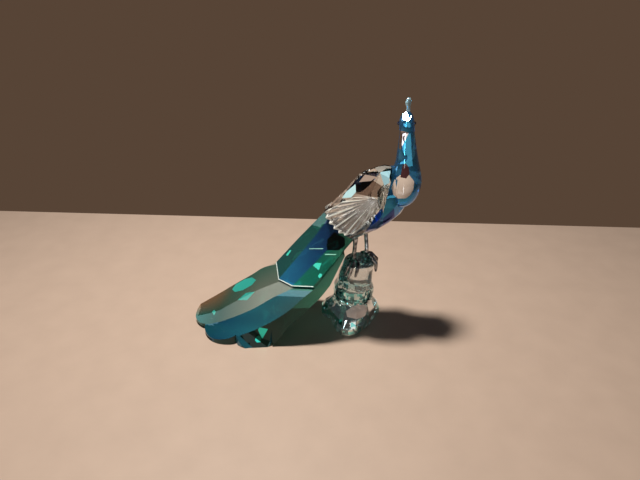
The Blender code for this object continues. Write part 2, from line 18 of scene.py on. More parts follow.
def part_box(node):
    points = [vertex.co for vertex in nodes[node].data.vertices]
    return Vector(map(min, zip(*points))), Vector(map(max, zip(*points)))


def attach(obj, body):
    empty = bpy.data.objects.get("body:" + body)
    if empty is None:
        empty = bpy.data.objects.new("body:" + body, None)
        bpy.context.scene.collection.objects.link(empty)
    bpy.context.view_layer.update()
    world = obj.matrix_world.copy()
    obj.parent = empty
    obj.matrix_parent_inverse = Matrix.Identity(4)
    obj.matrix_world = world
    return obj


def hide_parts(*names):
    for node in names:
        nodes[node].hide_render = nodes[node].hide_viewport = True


MM = 0.001
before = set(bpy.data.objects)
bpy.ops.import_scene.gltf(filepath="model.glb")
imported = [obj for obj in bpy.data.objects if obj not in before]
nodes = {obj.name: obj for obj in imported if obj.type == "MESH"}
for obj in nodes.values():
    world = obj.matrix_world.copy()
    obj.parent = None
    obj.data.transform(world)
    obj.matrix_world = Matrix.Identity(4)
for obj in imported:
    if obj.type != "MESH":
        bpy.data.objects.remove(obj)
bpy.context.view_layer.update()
print("pieces in the frame:", sorted(nodes))

# %% [markdown]
# ## Where the camera stands
# The table is seen from above, about 27 degrees down, with a wide lens close to the bird. The camera comes
# first, because every later choice of tint is judged through it.

# %% Camera
CAMERA_PLACE = (0.012141, -0.25405, 0.1875)
CAMERA_TILT_DEG = 63.0
CAMERA_LENS_MM = 27.06

camera_data = bpy.data.cameras.new("camera")
camera_data.lens = CAMERA_LENS_MM
camera_data.sensor_width = 36.0
camera_data.clip_start = 0.01
camera = bpy.data.objects.new("camera", camera_data)
camera.location = CAMERA_PLACE
camera.rotation_euler = (math.radians(CAMERA_TILT_DEG), 0.0, 0.0)
bpy.context.scene.collection.objects.link(camera)
bpy.context.scene.camera = camera

# %% [markdown]
# ## Small helpers for meshes
# A few jobs come back for every piece: a clean copy of a frame node, a bmesh made into an object, and the
# modifiers of an object turned into plain mesh. The frame's nodes are loose triangles, so a copy is merged,
# and triangles that lie in one plane are joined to the facet that the cutter ground.

# %% Mesh helpers
MERGE = 0.00001
FLAT_DEG = 2.0


def link(obj):
    bpy.context.scene.collection.objects.link(obj)
    return obj


def node_bmesh(node):
    """A merged copy of a frame node, with its flat triangles joined to facets."""
    bm = bmesh.new()
    bm.from_mesh(nodes[node].data)
    bmesh.ops.remove_doubles(bm, verts=bm.verts, dist=MERGE)
    bmesh.ops.dissolve_limit(
        bm, angle_limit=math.radians(FLAT_DEG), verts=bm.verts, edges=bm.edges, delimit={"NORMAL"}
    )
    bmesh.ops.recalc_face_normals(bm, faces=bm.faces)
    return bm


def object_from(bm, name):
    mesh = bpy.data.meshes.new(name)
    bm.to_mesh(mesh)
    bm.free()
    return link(bpy.data.objects.new(name, mesh))


def settle(obj):
    """Turns an object with modifiers into a plain mesh."""
    graph = bpy.context.evaluated_depsgraph_get()
    mesh = bpy.data.meshes.new_from_object(obj.evaluated_get(graph))
    old = obj.data
    obj.modifiers.clear()
    obj.data = mesh
    bpy.data.meshes.remove(old)
    return obj


def bevel(obj, width, degrees):
    """Rounds every edge sharper than some degrees, as polishing does."""
    modifier = obj.modifiers.new("arris", "BEVEL")
    modifier.width = width
    modifier.segments = 2
    modifier.limit_method = "ANGLE"
    modifier.angle_limit = math.radians(degrees)
    modifier.miter_outer = "MITER_ARC"
    return settle(obj)


def melt(obj, voxel, rounds, swelling=0.0):
    """Melts a piece into one soft skin. Swelling gives back the thickness that smoothing takes away."""
    remesh = obj.modifiers.new("melt", "REMESH")
    remesh.mode = "VOXEL"
    remesh.voxel_size = voxel
    soften = obj.modifiers.new("soften", "SMOOTH")
    soften.factor = 0.5
    soften.iterations = rounds
    if swelling:
        swell = obj.modifiers.new("swell", "DISPLACE")
        swell.direction = "NORMAL"
        swell.mid_level = 0.0
        swell.strength = swelling
    return settle(obj)


handed_in = []


def hand_in(obj, materials, sharp_degrees, node):
    """Dresses a finished piece with its materials and shading. It rides on the one body, and the frame node
    it replaces is hidden.
    """
    obj.data.shade_smooth()
    obj.data.set_sharp_from_angle(angle=math.radians(sharp_degrees))
    for material in materials:
        obj.data.materials.append(material)
    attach(obj, "root")
    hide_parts(node)
    handed_in.append(obj)
    triangles = sum(len(p.vertices) - 2 for p in obj.data.polygons)
    print(obj.name, "has", triangles, "triangles")
    return obj


# %% Curves, skins and cuts
# The shapes are written in the millimetres of the drawing, whose origin lies under the bird's breast.
ORIGIN_SHIFT = Vector((-30.891, 1.0501, 0.0))
GLUE_GAP = 0.30


def curve_through(rows, steps):
    """Points of a smooth curve through the rows, with steps between each two."""
    rows = [np.array(row, float) for row in rows]
    made = []
    for k in range(len(rows) - 1):
        a, b, c, d = rows[max(k - 1, 0)], rows[k], rows[k + 1], rows[min(k + 2, len(rows) - 1)]
        for s in range(steps):
            t = s / steps
            square, cube = 2 * a - 5 * b + 4 * c - d, 3 * b - a - 3 * c + d
            made.append(0.5 * (2 * b + (c - a) * t + square * t**2 + cube * t**3))
    return made + [rows[-1]]


def to_frame(point):
    """A point of the drawing, moved to the frame and its metres."""
    return (Vector(point) - ORIGIN_SHIFT) * MM


def skin(rings):
    """A closed mesh over equal rings of points in the drawing's millimetres, moved to the frame."""
    bm = bmesh.new()
    rows = [[bm.verts.new(to_frame(p)) for p in ring] for ring in rings]
    count = len(rows[0])
    for a, b in zip(rows, rows[1:]):
        for i in range(count):
            j = (i + 1) % count
            bm.faces.new((a[i], a[j], b[j], b[i]))
    for row in (rows[0], rows[-1]):
        tip = bm.verts.new(sum((v.co for v in row), Vector()) / count)
        for i in range(count):
            bm.faces.new((row[i], row[(i + 1) % count], tip))
    bmesh.ops.recalc_face_normals(bm, faces=bm.faces)
    return bm


def boolean(first, second, operation):
    """Joins or cuts two closed bmeshes. Both are used up."""
    a, b = object_from(first, "a"), object_from(second, "b")
    modifier = a.modifiers.new("cut", "BOOLEAN")
    modifier.operation = operation
    modifier.object = b
    settle(a)
    result = bmesh.new()
    result.from_mesh(a.data)
    for obj in (a, b):
        bpy.data.objects.remove(obj, do_unlink=True)
    return result


def grind(bm, point, outward):
    """Grinds away what lies outside a plane, and closes the cut with a flat facet."""
    everything = bm.verts[:] + bm.edges[:] + bm.faces[:]
    made = bmesh.ops.bisect_plane(
        bm, geom=everything, plane_co=to_frame(point), plane_no=outward, clear_outer=True
    )
    edges = [g for g in made["geom_cut"] if isinstance(g, bmesh.types.BMEdge)]
    bmesh.ops.holes_fill(bm, edges=edges, sides=0)


def grind_across(bm, face, gap):
    """Grinds a bmesh along a glued joint, a plane across the bird through two points seen from the side."""
    (xa, za), (xb, zb) = face
    along = Vector((xb - xa, 0.0, zb - za)).normalized()
    out = Vector((along.z, 0.0, -along.x))
    grind(bm, Vector((xa, 0.0, za)) + out * gap, -out)


# %% [markdown]
# ## Tints that change from facet to facet
# A coated crystal shows another colour in each facet, and the tints here also carry painted light: painted
# reflections, flashes and shade. The tint is kept in a colour attribute on the corners of the mesh, and the
# material reads it by name.

# %% Facet tints
# The coloured crystals wear three kinds of face: their own crystal, a mirror foil and a glow, which is a
# plain pale facet with painted light as its tint. The rim of the coverts is only marked with the fourth
# number, and then gets the glow too, with a painted highlight.
CRYSTAL, FOIL, GLOW, RIM = range(4)
TINT = "facet_tint"
FLASH_DEPTH = 1.2 * MM
FLASH_FACING = 0.6
FLASH_WELD = 0.000005


def tint_facets(obj, colour_of):
    """Writes colour_of(corner, face centre, normal) on each corner of each face, in the drawing's mm."""
    mesh = obj.data
    layer = mesh.color_attributes.get(TINT) or mesh.color_attributes.new(TINT, "FLOAT_COLOR", "CORNER")
    places = [v.co / MM + ORIGIN_SHIFT for v in mesh.vertices]
    for face in mesh.polygons:
        centre = face.center / MM + ORIGIN_SHIFT
        for corner in face.loop_indices:
            place = places[mesh.loops[corner].vertex_index]
            layer.data[corner].color = (*colour_of(place, centre, face.normal), 1.0)


def run(steps, x):
    """The tint at x, from a few tints along x."""
    places = [place for place, _ in steps]
    return [float(np.interp(x, places, [colour[i] for _, colour in steps])) for i in range(3)]


def pick_by(tints, *measures):
    """One of the tints, told by a few measures of a facet, so that neighbours differ."""
    return tints[int(sum(abs(measure) for measure in measures)) % len(tints)]


def paint_face(obj, face, tint):
    """Gives one face of a mesh a single tint."""
    layer = obj.data.color_attributes[TINT]
    for corner in face.loop_indices:
        layer.data[corner].color = (*tint, 1.0)


def cut_flash(obj, corners, outward, tint, slot, depth=FLASH_DEPTH):
    """Cuts the outline of a flash into the faces under it, and gives them its tint and slot. The tint is
    painted light, except on a foil, where it colours a mirror.
    """
    spots = [to_frame(c) for c in corners]
    outward = Vector(outward).normalized()
    middle = sum(spots, Vector()) / len(spots)
    reach = max((s - middle).length for s in spots)
    sides = []
    for a, b in zip(spots, spots[1:] + spots[:1]):
        side = (b - a).cross(outward).normalized()
        sides.append((a, -side if side.dot(middle - a) > 0 else side))
    bm = bmesh.new()
    bm.from_mesh(obj.data)

    def faces_under():
        found = []
        for face in bm.faces:
            centre = face.calc_center_bounds()
            size = max((v.co - centre).length for v in face.verts)
            near = (centre - middle).length < reach + size
            if near and face.normal.dot(outward) > FLASH_FACING:
                if abs((middle - face.verts[0].co).dot(face.normal)) < depth:
                    found.append(face)
        return found

    for point, side in sides:
        faces = faces_under()
        parts = set(faces) | {e for f in faces for e in f.edges} | {v for f in faces for v in f.verts}
        bmesh.ops.bisect_plane(bm, geom=list(parts), plane_co=point, plane_no=side, dist=FLASH_WELD)
    layer = bm.loops.layers.float_color[TINT]
    for face in faces_under():
        centre = face.calc_center_median()
        if all((centre - point).dot(side) < 0 for point, side in sides):
            face.material_index = slot
            for loop in face.loops:
                loop[layer] = (*tint, 1.0)
    bm.to_mesh(obj.data)
    bm.free()


def cut_flashes(obj, flashes):
    for flash in flashes:
        cut_flash(obj, *flash)


# %% [markdown]
# ## Finish groups
# Polished glass is never quite even. One group gives a little change of roughness, like faint wipe marks, and
# the few specks of dust that a photograph under a lamp always shows. It is built once, and each crystal takes
# it with its own numbers.

# %% Node helpers and the polish group


def plug(tree, node, inputs):
    """Sets plain values on the inputs of a node, and links what is given as a socket."""
    for key, value in inputs.items():
        if isinstance(value, bpy.types.NodeSocket):
            tree.links.new(value, node.inputs[key])
        else:
            node.inputs[key].default_value = value


def wire(tree, kind, inputs=None, **settings):
    """Adds a node with its settings and inputs."""
    node = tree.nodes.new(kind)
    for key, value in settings.items():
        setattr(node, key, value)
    plug(tree, node, inputs or {})
    return node


def clouds(tree, scale, detail):
    """Soft noise on the object's own coordinates."""
    given = {"Vector": wire(tree, "ShaderNodeTexCoord").outputs["Object"], "Scale": scale, "Detail": detail}
    return wire(tree, "ShaderNodeTexNoise", given).outputs["Fac"]


def colour_ramp(tree, factor, steps):
    """A ramp through the steps, each of them a place and a colour."""
    ramp = wire(tree, "ShaderNodeValToRGB", {"Fac": factor})
    elements = ramp.color_ramp.elements
    while len(elements) < len(steps):
        elements.new(0.5)
    for element, (position, colour) in zip(elements, steps):
        element.position = position
        element.color = (*colour, 1.0)
    return ramp.outputs["Color"]


def new_material(name):
    made = bpy.data.materials.new(name)
    made.use_nodes = True
    return made, made.node_tree, made.node_tree.nodes["Principled BSDF"]


WIPES = {"scale": 55.0, "detail": 3.0}
WIPE_RANGE = {"From Min": 0.52, "From Max": 0.78}
SPECK_RANGE = {"From Min": 0.0, "From Max": 0.055, "To Min": 1.0, "To Max": 0.0}
DUST_COLOUR = (0.9, 0.95, 0.95, 1.0)


def build_polish():
    group = bpy.data.node_groups.new("polish", "ShaderNodeTree")
    face = group.interface
    face.new_socket("Tint", in_out="INPUT", socket_type="NodeSocketColor")
    for name in ("Smooth", "Haze", "Dust", "Size"):
        face.new_socket(name, in_out="INPUT", socket_type="NodeSocketFloat")
    face.new_socket("Colour", in_out="OUTPUT", socket_type="NodeSocketColor")
    face.new_socket("Roughness", in_out="OUTPUT", socket_type="NodeSocketFloat")
    given = wire(group, "NodeGroupInput").outputs
    ends = {"To Min": given["Smooth"], "To Max": given["Haze"]}
    wipe = wire(group, "ShaderNodeMapRange", {"Value": clouds(group, **WIPES), **WIPE_RANGE, **ends})
    place = wire(group, "ShaderNodeTexCoord").outputs["Object"]
    grains = wire(group, "ShaderNodeTexVoronoi", {"Vector": place, "Scale": given["Size"]})
    speck = wire(group, "ShaderNodeMapRange", {"Value": grains.outputs["Distance"], **SPECK_RANGE})
    specks = {0: speck.outputs["Result"], 1: given["Dust"]}
    dust = wire(group, "ShaderNodeMath", specks, operation="MULTIPLY").outputs["Value"]
    pale = wire(group, "ShaderNodeMix", {0: dust, 6: given["Tint"], 7: DUST_COLOUR}, data_type="RGBA")
    marks = {0: wipe.outputs["Result"], 1: dust}
    rough = wire(group, "ShaderNodeMath", marks, operation="ADD", use_clamp=True)
    wire(group, "NodeGroupOutput", {"Colour": pale.outputs[2], "Roughness": rough.outputs["Value"]})
    return group


polish = build_polish()

# %% [markdown]
# ## The crystals
# Every crystal is one Principled shader, with its transmission set as a plain value. The base colour tints
# what passes through each surface, and a plain absorption inside makes thick parts deeper than thin ones.
# The blue stone carries a thin film, which is why its highlights turn a little violet.

# %% Crystal materials
SMOOTH = 0.008
DUST_SCALE = 260.0
FILM_IOR = 1.9


def crystal(name, colour=None, ior=1.55, clear=1.0, coat=0.0, film=0.0, depth=None, haze=0.03, dust=0.12):
    """A clear or tinted crystal. Without a colour it reads the facets' own tints."""
    made, tree, shader = new_material(name)
    tint = (*colour, 1.0) if colour else wire(tree, "ShaderNodeVertexColor", layer_name=TINT).outputs["Color"]
    given = {"Tint": tint, "Smooth": SMOOTH, "Haze": haze, "Dust": dust, "Size": DUST_SCALE}
    finish = wire(tree, "ShaderNodeGroup", given, node_tree=polish).outputs
    plug(tree, shader, {"Base Color": finish["Colour"], "Roughness": finish["Roughness"]})
    plug(tree, shader, {"Transmission Weight": clear, "Metallic": coat, "IOR": ior})
    if film:
        plug(tree, shader, {"Thin Film Thickness": film, "Thin Film IOR": FILM_IOR})
    if depth:
        given = {"Color": (*depth[0], 1.0), "Density": depth[1]}
        inside = wire(tree, "ShaderNodeVolumeAbsorption", given)
        plug(tree, tree.nodes["Material Output"], {"Volume": inside.outputs["Volume"]})
    return made


ROCK_DEPTH = ((0.35, 0.80, 0.90), 9.0)
BLUE_DEPTH = ((0.05, 0.6, 0.97), 18.0)
TRAIN_DEPTH = ((0, 0.8, 0.72), 14.0)
COVERTS_DEPTH = ((0, 0.7, 0.72), 14.0)

clear_crystal = crystal("clear_crystal", ior=1.60)
wing_crystal = crystal(
    "wing_crystal", colour=(0.97, 0.96, 0.93), ior=1.50, clear=0.90, haze=0.012, dust=0.0
)
crest_crystal = crystal("crest_crystal", colour=(0.50, 0.84, 1.0), clear=0.25, coat=0.35)
rock_crystal = crystal("rock_crystal", ior=1.50, clear=0.96, coat=0.15, depth=ROCK_DEPTH)
blue_crystal = crystal("blue_crystal", ior=1.56, clear=0.82, coat=0.4, film=330.0, depth=BLUE_DEPTH)
train_crystal = crystal("train_crystal", ior=1.56, clear=0.5, coat=0.35, depth=TRAIN_DEPTH, dust=0.5)
coverts_crystal = crystal("coverts_crystal", ior=1.56, clear=0.72, coat=0.15, depth=COVERTS_DEPTH)

# Some facets act as small mirrors, by a coating on their back. Others are plain diffuse facets whose tint is
# painted light, the flashes and reflections that the stone would send back from inside.
tail_foil = crystal("tail_foil", clear=0.0, coat=1.0, haze=0.10, dust=0.0)
glow_facet = crystal("glow_facet", clear=0.0, haze=0.02, dust=0.0)

# %% Metal and bead materials
METAL_GRAIN = {"scale": 420.0, "detail": 4.0}
METAL_ROUGH = {"To Min": 0.10, "To Max": 0.34}
METAL_BUMP = {"Strength": 0.35, "Distance": 0.0002}
METAL_STEPS = [(0.35, (0.03, 0.033, 0.04)), (0.68, (0.50, 0.52, 0.54))]


def metal(name, steps):
    made, tree, shader = new_material(name)
    grain = clouds(tree, **METAL_GRAIN)
    rough = wire(tree, "ShaderNodeMapRange", {"Value": grain, **METAL_ROUGH}).outputs["Result"]
    bump = wire(tree, "ShaderNodeBump", {"Height": grain, **METAL_BUMP}).outputs["Normal"]
    plug(tree, shader, {"Base Color": colour_ramp(tree, grain, steps), "Metallic": 1.0})
    plug(tree, shader, {"Roughness": rough, "Normal": bump})
    return made


dark_silver = metal("dark_silver", METAL_STEPS)
black_bead = crystal("black_bead", colour=(0.01, 0.01, 0.03), ior=1.6, clear=0.0, haze=0.05, dust=0.0)

# %% [markdown]
# ## The tail
# The upper tail coverts are one dark crystal, glued on top of the long train. Four lines run along each of
# them and part the facets: the flank, both edges of the blue streak, and the ridge. Between the measured
# stations the lines are smooth curves, so each facet is one long polished band. The undersides are ground in
# small pointed facets, which throw the light back up as bright flashes.

# %% Tail lines
COVERTS_LINES = {
    "flank": [(1.2, -11.0, 66.4), (-6.8, -13.2, 56.9), (-22.8, -20.0, 38.6)],
    "streak_near": [(-5.7, -6.0, 70.6), (-13.6, -8.0, 57.5), (-35.4, -11.2, 33.6)],
    "streak_far": [(-13.0, -1.0, 74.5), (-23.5, -1.0, 59.1), (-44.2, -2.2, 32.7)],
    "ridge": [(-17.0, 0.8, 75.4), (-30.7, 5.0, 58.4), (-46.0, 6.0, 40.0)],
}
TRAIN_LINES = {
    "flank": [(-29.7, -21.0, 30.4), (-37.5, -21.6, 22.8), (-48.6, -22.2, 15.0), (-61.7, -22.4, 8.0),
              (-82.0, -26.0, 1.8)],
    "streak_near": [(-47.2, -11.6, 25.6), (-58.9, -11.2, 17.6), (-72.6, -10.2, 10.2), (-83.7, -9.2, 5.4),
                    (-100.0, -8.0, 1.8)],
    "streak_far": [(-57.4, 0.0, 23.7), (-68.5, 1.4, 16.4), (-78.6, 1.6, 10.2), (-86.0, 1.0, 6.4),
                   (-104.0, 0.5, 2.0)],
    "ridge": [(-53.9, 8.0, 35.3), (-62.3, 10.0, 28.7), (-73.9, 11.6, 20.6), (-86.2, 10.6, 13.0),
              (-106.0, 7.0, 2.4)],
}
UNDER_LINE = [
    (-4.6, -13.8, 55.4), (-13.0, -17.0, 37.4), (-18.8, -20.0, 31.0), (-27.0, -22.0, 23.0),
    (-37.6, -24.0, 12.8), (-50.0, -26.0, 0.0), (-84.0, -31.0, 0.0),
]
TAIL_FACE = [(3.6, 60.8), (-18.4, 78.2)]
MIDDLE_Y = 1.5
FAR_SHARES = [0.0, 0.75, 1.0]
FAR_BULGE = 3.0
FAR_OUT = Vector((-0.35, 0.75, 0.56))
COVERTS_STEP = 1.6
COVERTS_DROP = 0.9
COVERTS_SEAT = (0.04, 0.92)
COVERTS_START = Vector((0.62, 0.0, 0.785)) * 9.0
COVERTS_RIM = 0.6
COVERTS_DEPTHS = [1.2, 4.2, 4.2, 4.2, 4.2, 1.2]
COVERTS_OUT = Vector((-0.62, 0.0, 0.785))
LINE_NAMES = ("flank", "streak_near", "streak_far", "ridge")
SMOOTH_STEPS = 4
UNDER_CELLS = 8
UNDER_CUT = 0.55
UNDER_LOOK = -0.25
UNDER_IN = Vector((-0.55, 0.0, 0.83))
RESTS_BELOW_Z = 1.0
SHOWN_FROM = 0.15


def top_line(lines, k):
    """The six points across the top at one station: four lines, a swelling, and the far flank."""
    row = [Vector(lines[name][k]) for name in LINE_NAMES]
    share = FAR_SHARES[k] if lines is COVERTS_LINES else 1.0
    far = Vector((row[0].x, 2 * MIDDLE_Y * share - row[0].y, row[0].z))
    swelling = (far + row[3]) / 2 + FAR_OUT * (FAR_BULGE * share)
    return row + [swelling, far]


def seat_line(k, drop):
    """The floor of the coverts at a station, straight across and lower by drop."""
    top = top_line(COVERTS_LINES, k)
    first, reach = COVERTS_SEAT
    shares = [first + reach * i / (len(top) - 1) for i in range(len(top))]
    return [top[0].lerp(top[-1], share) - COVERTS_OUT * drop for share in shares]


def smooth_rings(rings, steps):
    """More rings between the given ones, each point on a smooth curve."""
    flat = [[c for point in ring for c in point] for ring in rings]
    return [[Vector(row[i : i + 3]) for i in range(0, len(row), 3)] for row in curve_through(flat, steps)]


def pointed_floor(ring, k, inward):
    """Closes a ring underneath with small points that stand in and out by turns."""
    lifts = [UNDER_CUT if (i + k) % 2 else 0.0 for i in range(UNDER_CELLS)]
    return ring + [ring[-1].lerp(ring[0], i / UNDER_CELLS) + inward * lifts[i] for i in range(1, UNDER_CELLS)]


# %% Train
LOBE_NOTCHES = [(-47.6, -23.2), (-69.3, -21.9), (-90.4, -8.2), (-88.4, 14.0), (-70.0, 23.6), (-49.0, 26.6)]
LOBE_SWELLS = [5.6, 7.0, 9.6, 6.2, 4.6]
LOBE_STEPS = 26
LOBE_ROUNDNESS = 0.62
LOBE_MIDDLE = Vector((-45.0, 0.0))
# The block reaches forward past the bird and up past the tail, so that it trims the lobes alone.
BLOCK_X = (-44.0, 20.0)
BLOCK_Y = (-50.0, 53.0)
BLOCK_HEIGHT = 90.0
SPLIT_LOOK = -0.3
TRAIN_WELD = 0.000002


def lobe_outline():
    """The end of the train seen from above: a soft arc between each two notches."""
    points = []
    for k, swell in enumerate(LOBE_SWELLS):
        a, b = Vector(LOBE_NOTCHES[k]), Vector(LOBE_NOTCHES[k + 1])
        chord = b - a
        outward = Vector((chord.y, -chord.x)).normalized()
        if outward.dot((a + b) / 2 - LOBE_MIDDLE) < 0:
            outward = -outward
        for s in range(LOBE_STEPS):
            f = s / LOBE_STEPS
            points.append(a + chord * f + outward * (swell * math.sin(math.pi * f) ** LOBE_ROUNDNESS))
    return points + [Vector(LOBE_NOTCHES[-1])]


def trimming_block():
    """A block with upright walls on the table. The lobes are its back edge."""
    (back, front), (near, far) = BLOCK_X, BLOCK_Y
    outline = [(front, near), (back, near)] + lobe_outline() + [(back, far), (front, far)]
    bm = bmesh.new()
    low, high = ([bm.verts.new(to_frame((*p, z))) for p in outline] for z in (0.0, BLOCK_HEIGHT))
    for i in range(len(outline)):
        j = (i + 1) % len(outline)
        bm.faces.new((low[i], low[j], high[j], high[i]))
    bm.faces.new(low)
    bm.faces.new(high)
    bmesh.ops.recalc_face_normals(bm, faces=bm.faces)
    return bm


def train_rings():
    under = [Vector(p) for p in UNDER_LINE]
    down = Vector((-COVERTS_OUT.z, 0.0, COVERTS_OUT.x))

    def ring(near, top):
        return [near] + top + [Vector((near.x, 2 * MIDDLE_Y - near.y, near.z))]

    end = top_line(COVERTS_LINES, 2)
    pocket = [p - COVERTS_OUT * (deep + GLUE_GAP) + down * GLUE_GAP for p, deep in zip(end, COVERTS_DEPTHS)]
    step = [p - COVERTS_OUT * COVERTS_STEP + down * GLUE_GAP for p in end]
    hidden = [ring(under[0], seat_line(1, COVERTS_DROP + GLUE_GAP)), ring(under[1], pocket)]
    shown = [ring(under[1].lerp(under[2], SHOWN_FROM), step)]
    shown += [ring(under[k + 2], top_line(TRAIN_LINES, k)) for k in range(len(TRAIN_LINES["ridge"]))]
    rings = hidden + smooth_rings(shown, SMOOTH_STEPS)
    inward = [UNDER_IN if row[0].z > RESTS_BELOW_Z else Vector((0, 0, 1)) for row in rings]
    return [pointed_floor(row, k, inward[k]) for k, row in enumerate(rings)]


def facet_undersides(obj):
    """Faces that look down are foiled and stay flat, so that each small facet is a mirror of its own."""
    for face in obj.data.polygons:
        if face.normal.z < UNDER_LOOK and face.material_index == CRYSTAL:
            face.material_index = FOIL


train_bm = skin(train_rings())
bmesh.ops.triangulate(train_bm, faces=[f for f in train_bm.faces if f.normal.z < SPLIT_LOOK])
train_bm = boolean(train_bm, trimming_block(), "INTERSECT")
bmesh.ops.remove_doubles(train_bm, verts=train_bm.verts, dist=TRAIN_WELD)

# %% Coverts
coverts_top = [top_line(COVERTS_LINES, k) for k in range(3)]
coverts_low = [seat_line(k, COVERTS_DROP) for k in range(2)]
coverts_low.append([p - COVERTS_OUT * deep for p, deep in zip(coverts_top[2], COVERTS_DEPTHS)])
rings = [top + low[::-1] for top, low in zip(coverts_top, coverts_low)]
start = [[p + COVERTS_START for p in rings[0]]]
rings = smooth_rings(rings, 3)
rim = [end.lerp(before, COVERTS_RIM / (end - before).length) for end, before in zip(rings[-1], rings[-2])]
coverts_rings = start + rings[:-1] + [rim, rings[-1]]
coverts_bm = skin(coverts_rings)

# The strip between the last two rings is the rim, on the top facets alone. Its pale tint, set below, is a
# painted highlight.
top_facets = len(coverts_top[0]) - 1
around = len(rim)
coverts_bm.faces.ensure_lookup_table()
for i in range(top_facets):
    coverts_bm.faces[(len(coverts_rings) - 2) * around + i].material_index = RIM

# The lower end is closed by a row of flat facets from edge to edge, instead of a fan round one point.
coverts_bm.verts.ensure_lookup_table()
end_row = coverts_bm.verts[(len(coverts_rings) - 1) * around : len(coverts_rings) * around]
bmesh.ops.delete(coverts_bm, geom=[coverts_bm.verts[-1]], context="VERTS")
for i in range(top_facets):
    coverts_bm.faces.new((end_row[i], end_row[i + 1], end_row[-2 - i], end_row[-1 - i]))
bmesh.ops.recalc_face_normals(coverts_bm, faces=coverts_bm.faces)
grind_across(coverts_bm, TAIL_FACE[::-1], GLUE_GAP / 2)

# %% Facet tints of the tail
# Each band between two lines has a few tints along x, and they run softly into one another. Besides the
# crystals' own greens and blues, the bands carry painted reflections, such as the brown of the table and wall
# in the train's far band and the tan grey of its middle band, and painted light and shade, which make them
# lighter or darker along x.
TRAIN_TINTS = {
    "wall": [(-104.0, (0.01, 0.10, 0.09)), (-60.0, (0.002, 0.02, 0.018)), (-20.0, (0.008, 0.07, 0.05))],
    "near": [(-104.0, (0.01, 0.18, 0.15)), (-80.0, (0.015, 0.13, 0.26)), (-58.0, (0.04, 0.30, 0.40)),
             (-44.0, (0.05, 0.25, 0.33)), (-36.0, (0.09, 0.26, 0.30))],
    "streak": [(-98.0, (0.02, 0.20, 0.20)), (-82.0, (0.025, 0.10, 0.085)), (-66.0, (0.13, 0.18, 0.145)),
               (-52.0, (0.24, 0.28, 0.23))],
    "middle": [(-98.0, (0.03, 0.20, 0.17)), (-84.0, (0.055, 0.16, 0.115)), (-70.0, (0.16, 0.26, 0.19)),
               (-56.0, (0.30, 0.38, 0.30))],
    "far": [(-100.0, (0.42, 0.22, 0.11)), (-84.0, (0.40, 0.23, 0.12)), (-70.0, (0.07, 0.22, 0.17)),
            (-52.0, (0.10, 0.26, 0.20))],
}
STRIP_TINTS = [(-36.0, (0.02, 0.16, 0.12)), (-18.0, (0.06, 0.34, 0.24)), (0.0, (0.20, 0.60, 0.44))]
STRIP_FROM_X = -30.0
WALL_LOOK = -0.86
COVERTS_TINTS = {
    "near": [(-36.0, (0.04, 0.55, 0.40)), (-10.0, (0.02, 0.26, 0.18)), (-3.0, (0.16, 0.62, 0.38))],
    "streak": [(-42.0, (0.06, 0.50, 0.98)), (-20.0, (0.03, 0.14, 0.42)), (-6.0, (0.015, 0.05, 0.17))],
    "ridge": [(-44.0, (0.05, 0.26, 0.26)), (-16.0, (0.05, 0.30, 0.26))],
    "far": [(-44.0, (0.05, 0.22, 0.20)), (-16.0, (0.04, 0.18, 0.16))],
}
COVERTS_BANDS = ((-8.0, "near"), (-2.0, "streak"), (4.0, "ridge"))
UNDER_TINTS = [
    (0.05, 0.42, 0.36), (0.10, 0.62, 0.58), (0.03, 0.30, 0.34), (0.30, 0.95, 0.86), (0.05, 0.38, 0.30)
]


def under_tint(centre, normal):
    return pick_by(UNDER_TINTS, centre.x * 0.83, centre.y * 1.7, normal.x * 40.0)


def line_y(name, x):
    """How far across a line of the train lies at x."""
    points = sorted((p[0], p[1]) for p in TRAIN_LINES[name])
    return float(np.interp(x, [p[0] for p in points], [p[1] for p in points]))


def train_tint(place, centre, normal):
    """The tint of the band between two lines of the train."""
    if normal.z < UNDER_LOOK:
        return under_tint(centre, normal)
    if centre.x > STRIP_FROM_X:
        return run(STRIP_TINTS, place.x)
    if normal.y < WALL_LOOK:
        return run(TRAIN_TINTS["wall"], place.x)
    near, far, ridge = (line_y(line, centre.x) for line in LINE_NAMES[1:])
    if centre.y < near:
        return run(TRAIN_TINTS["near"], place.x)
    if centre.y < far:
        return run(TRAIN_TINTS["streak"], place.x)
    share = min(max((place.y - far) / (ridge - far), 0.0), 1.0)
    mild, deep = run(TRAIN_TINTS["middle"], place.x), run(TRAIN_TINTS["far"], place.x)
    return [m + (d - m) * share for m, d in zip(mild, deep)]


def coverts_tint(place, centre, normal):
    """The tint of the band between two lines of the coverts."""
    if normal.z < UNDER_LOOK:
        return under_tint(centre, normal)
    for limit, band in COVERTS_BANDS:
        if centre.y < limit:
            return run(COVERTS_TINTS[band], place.x)
    return run(COVERTS_TINTS["far"], place.x)
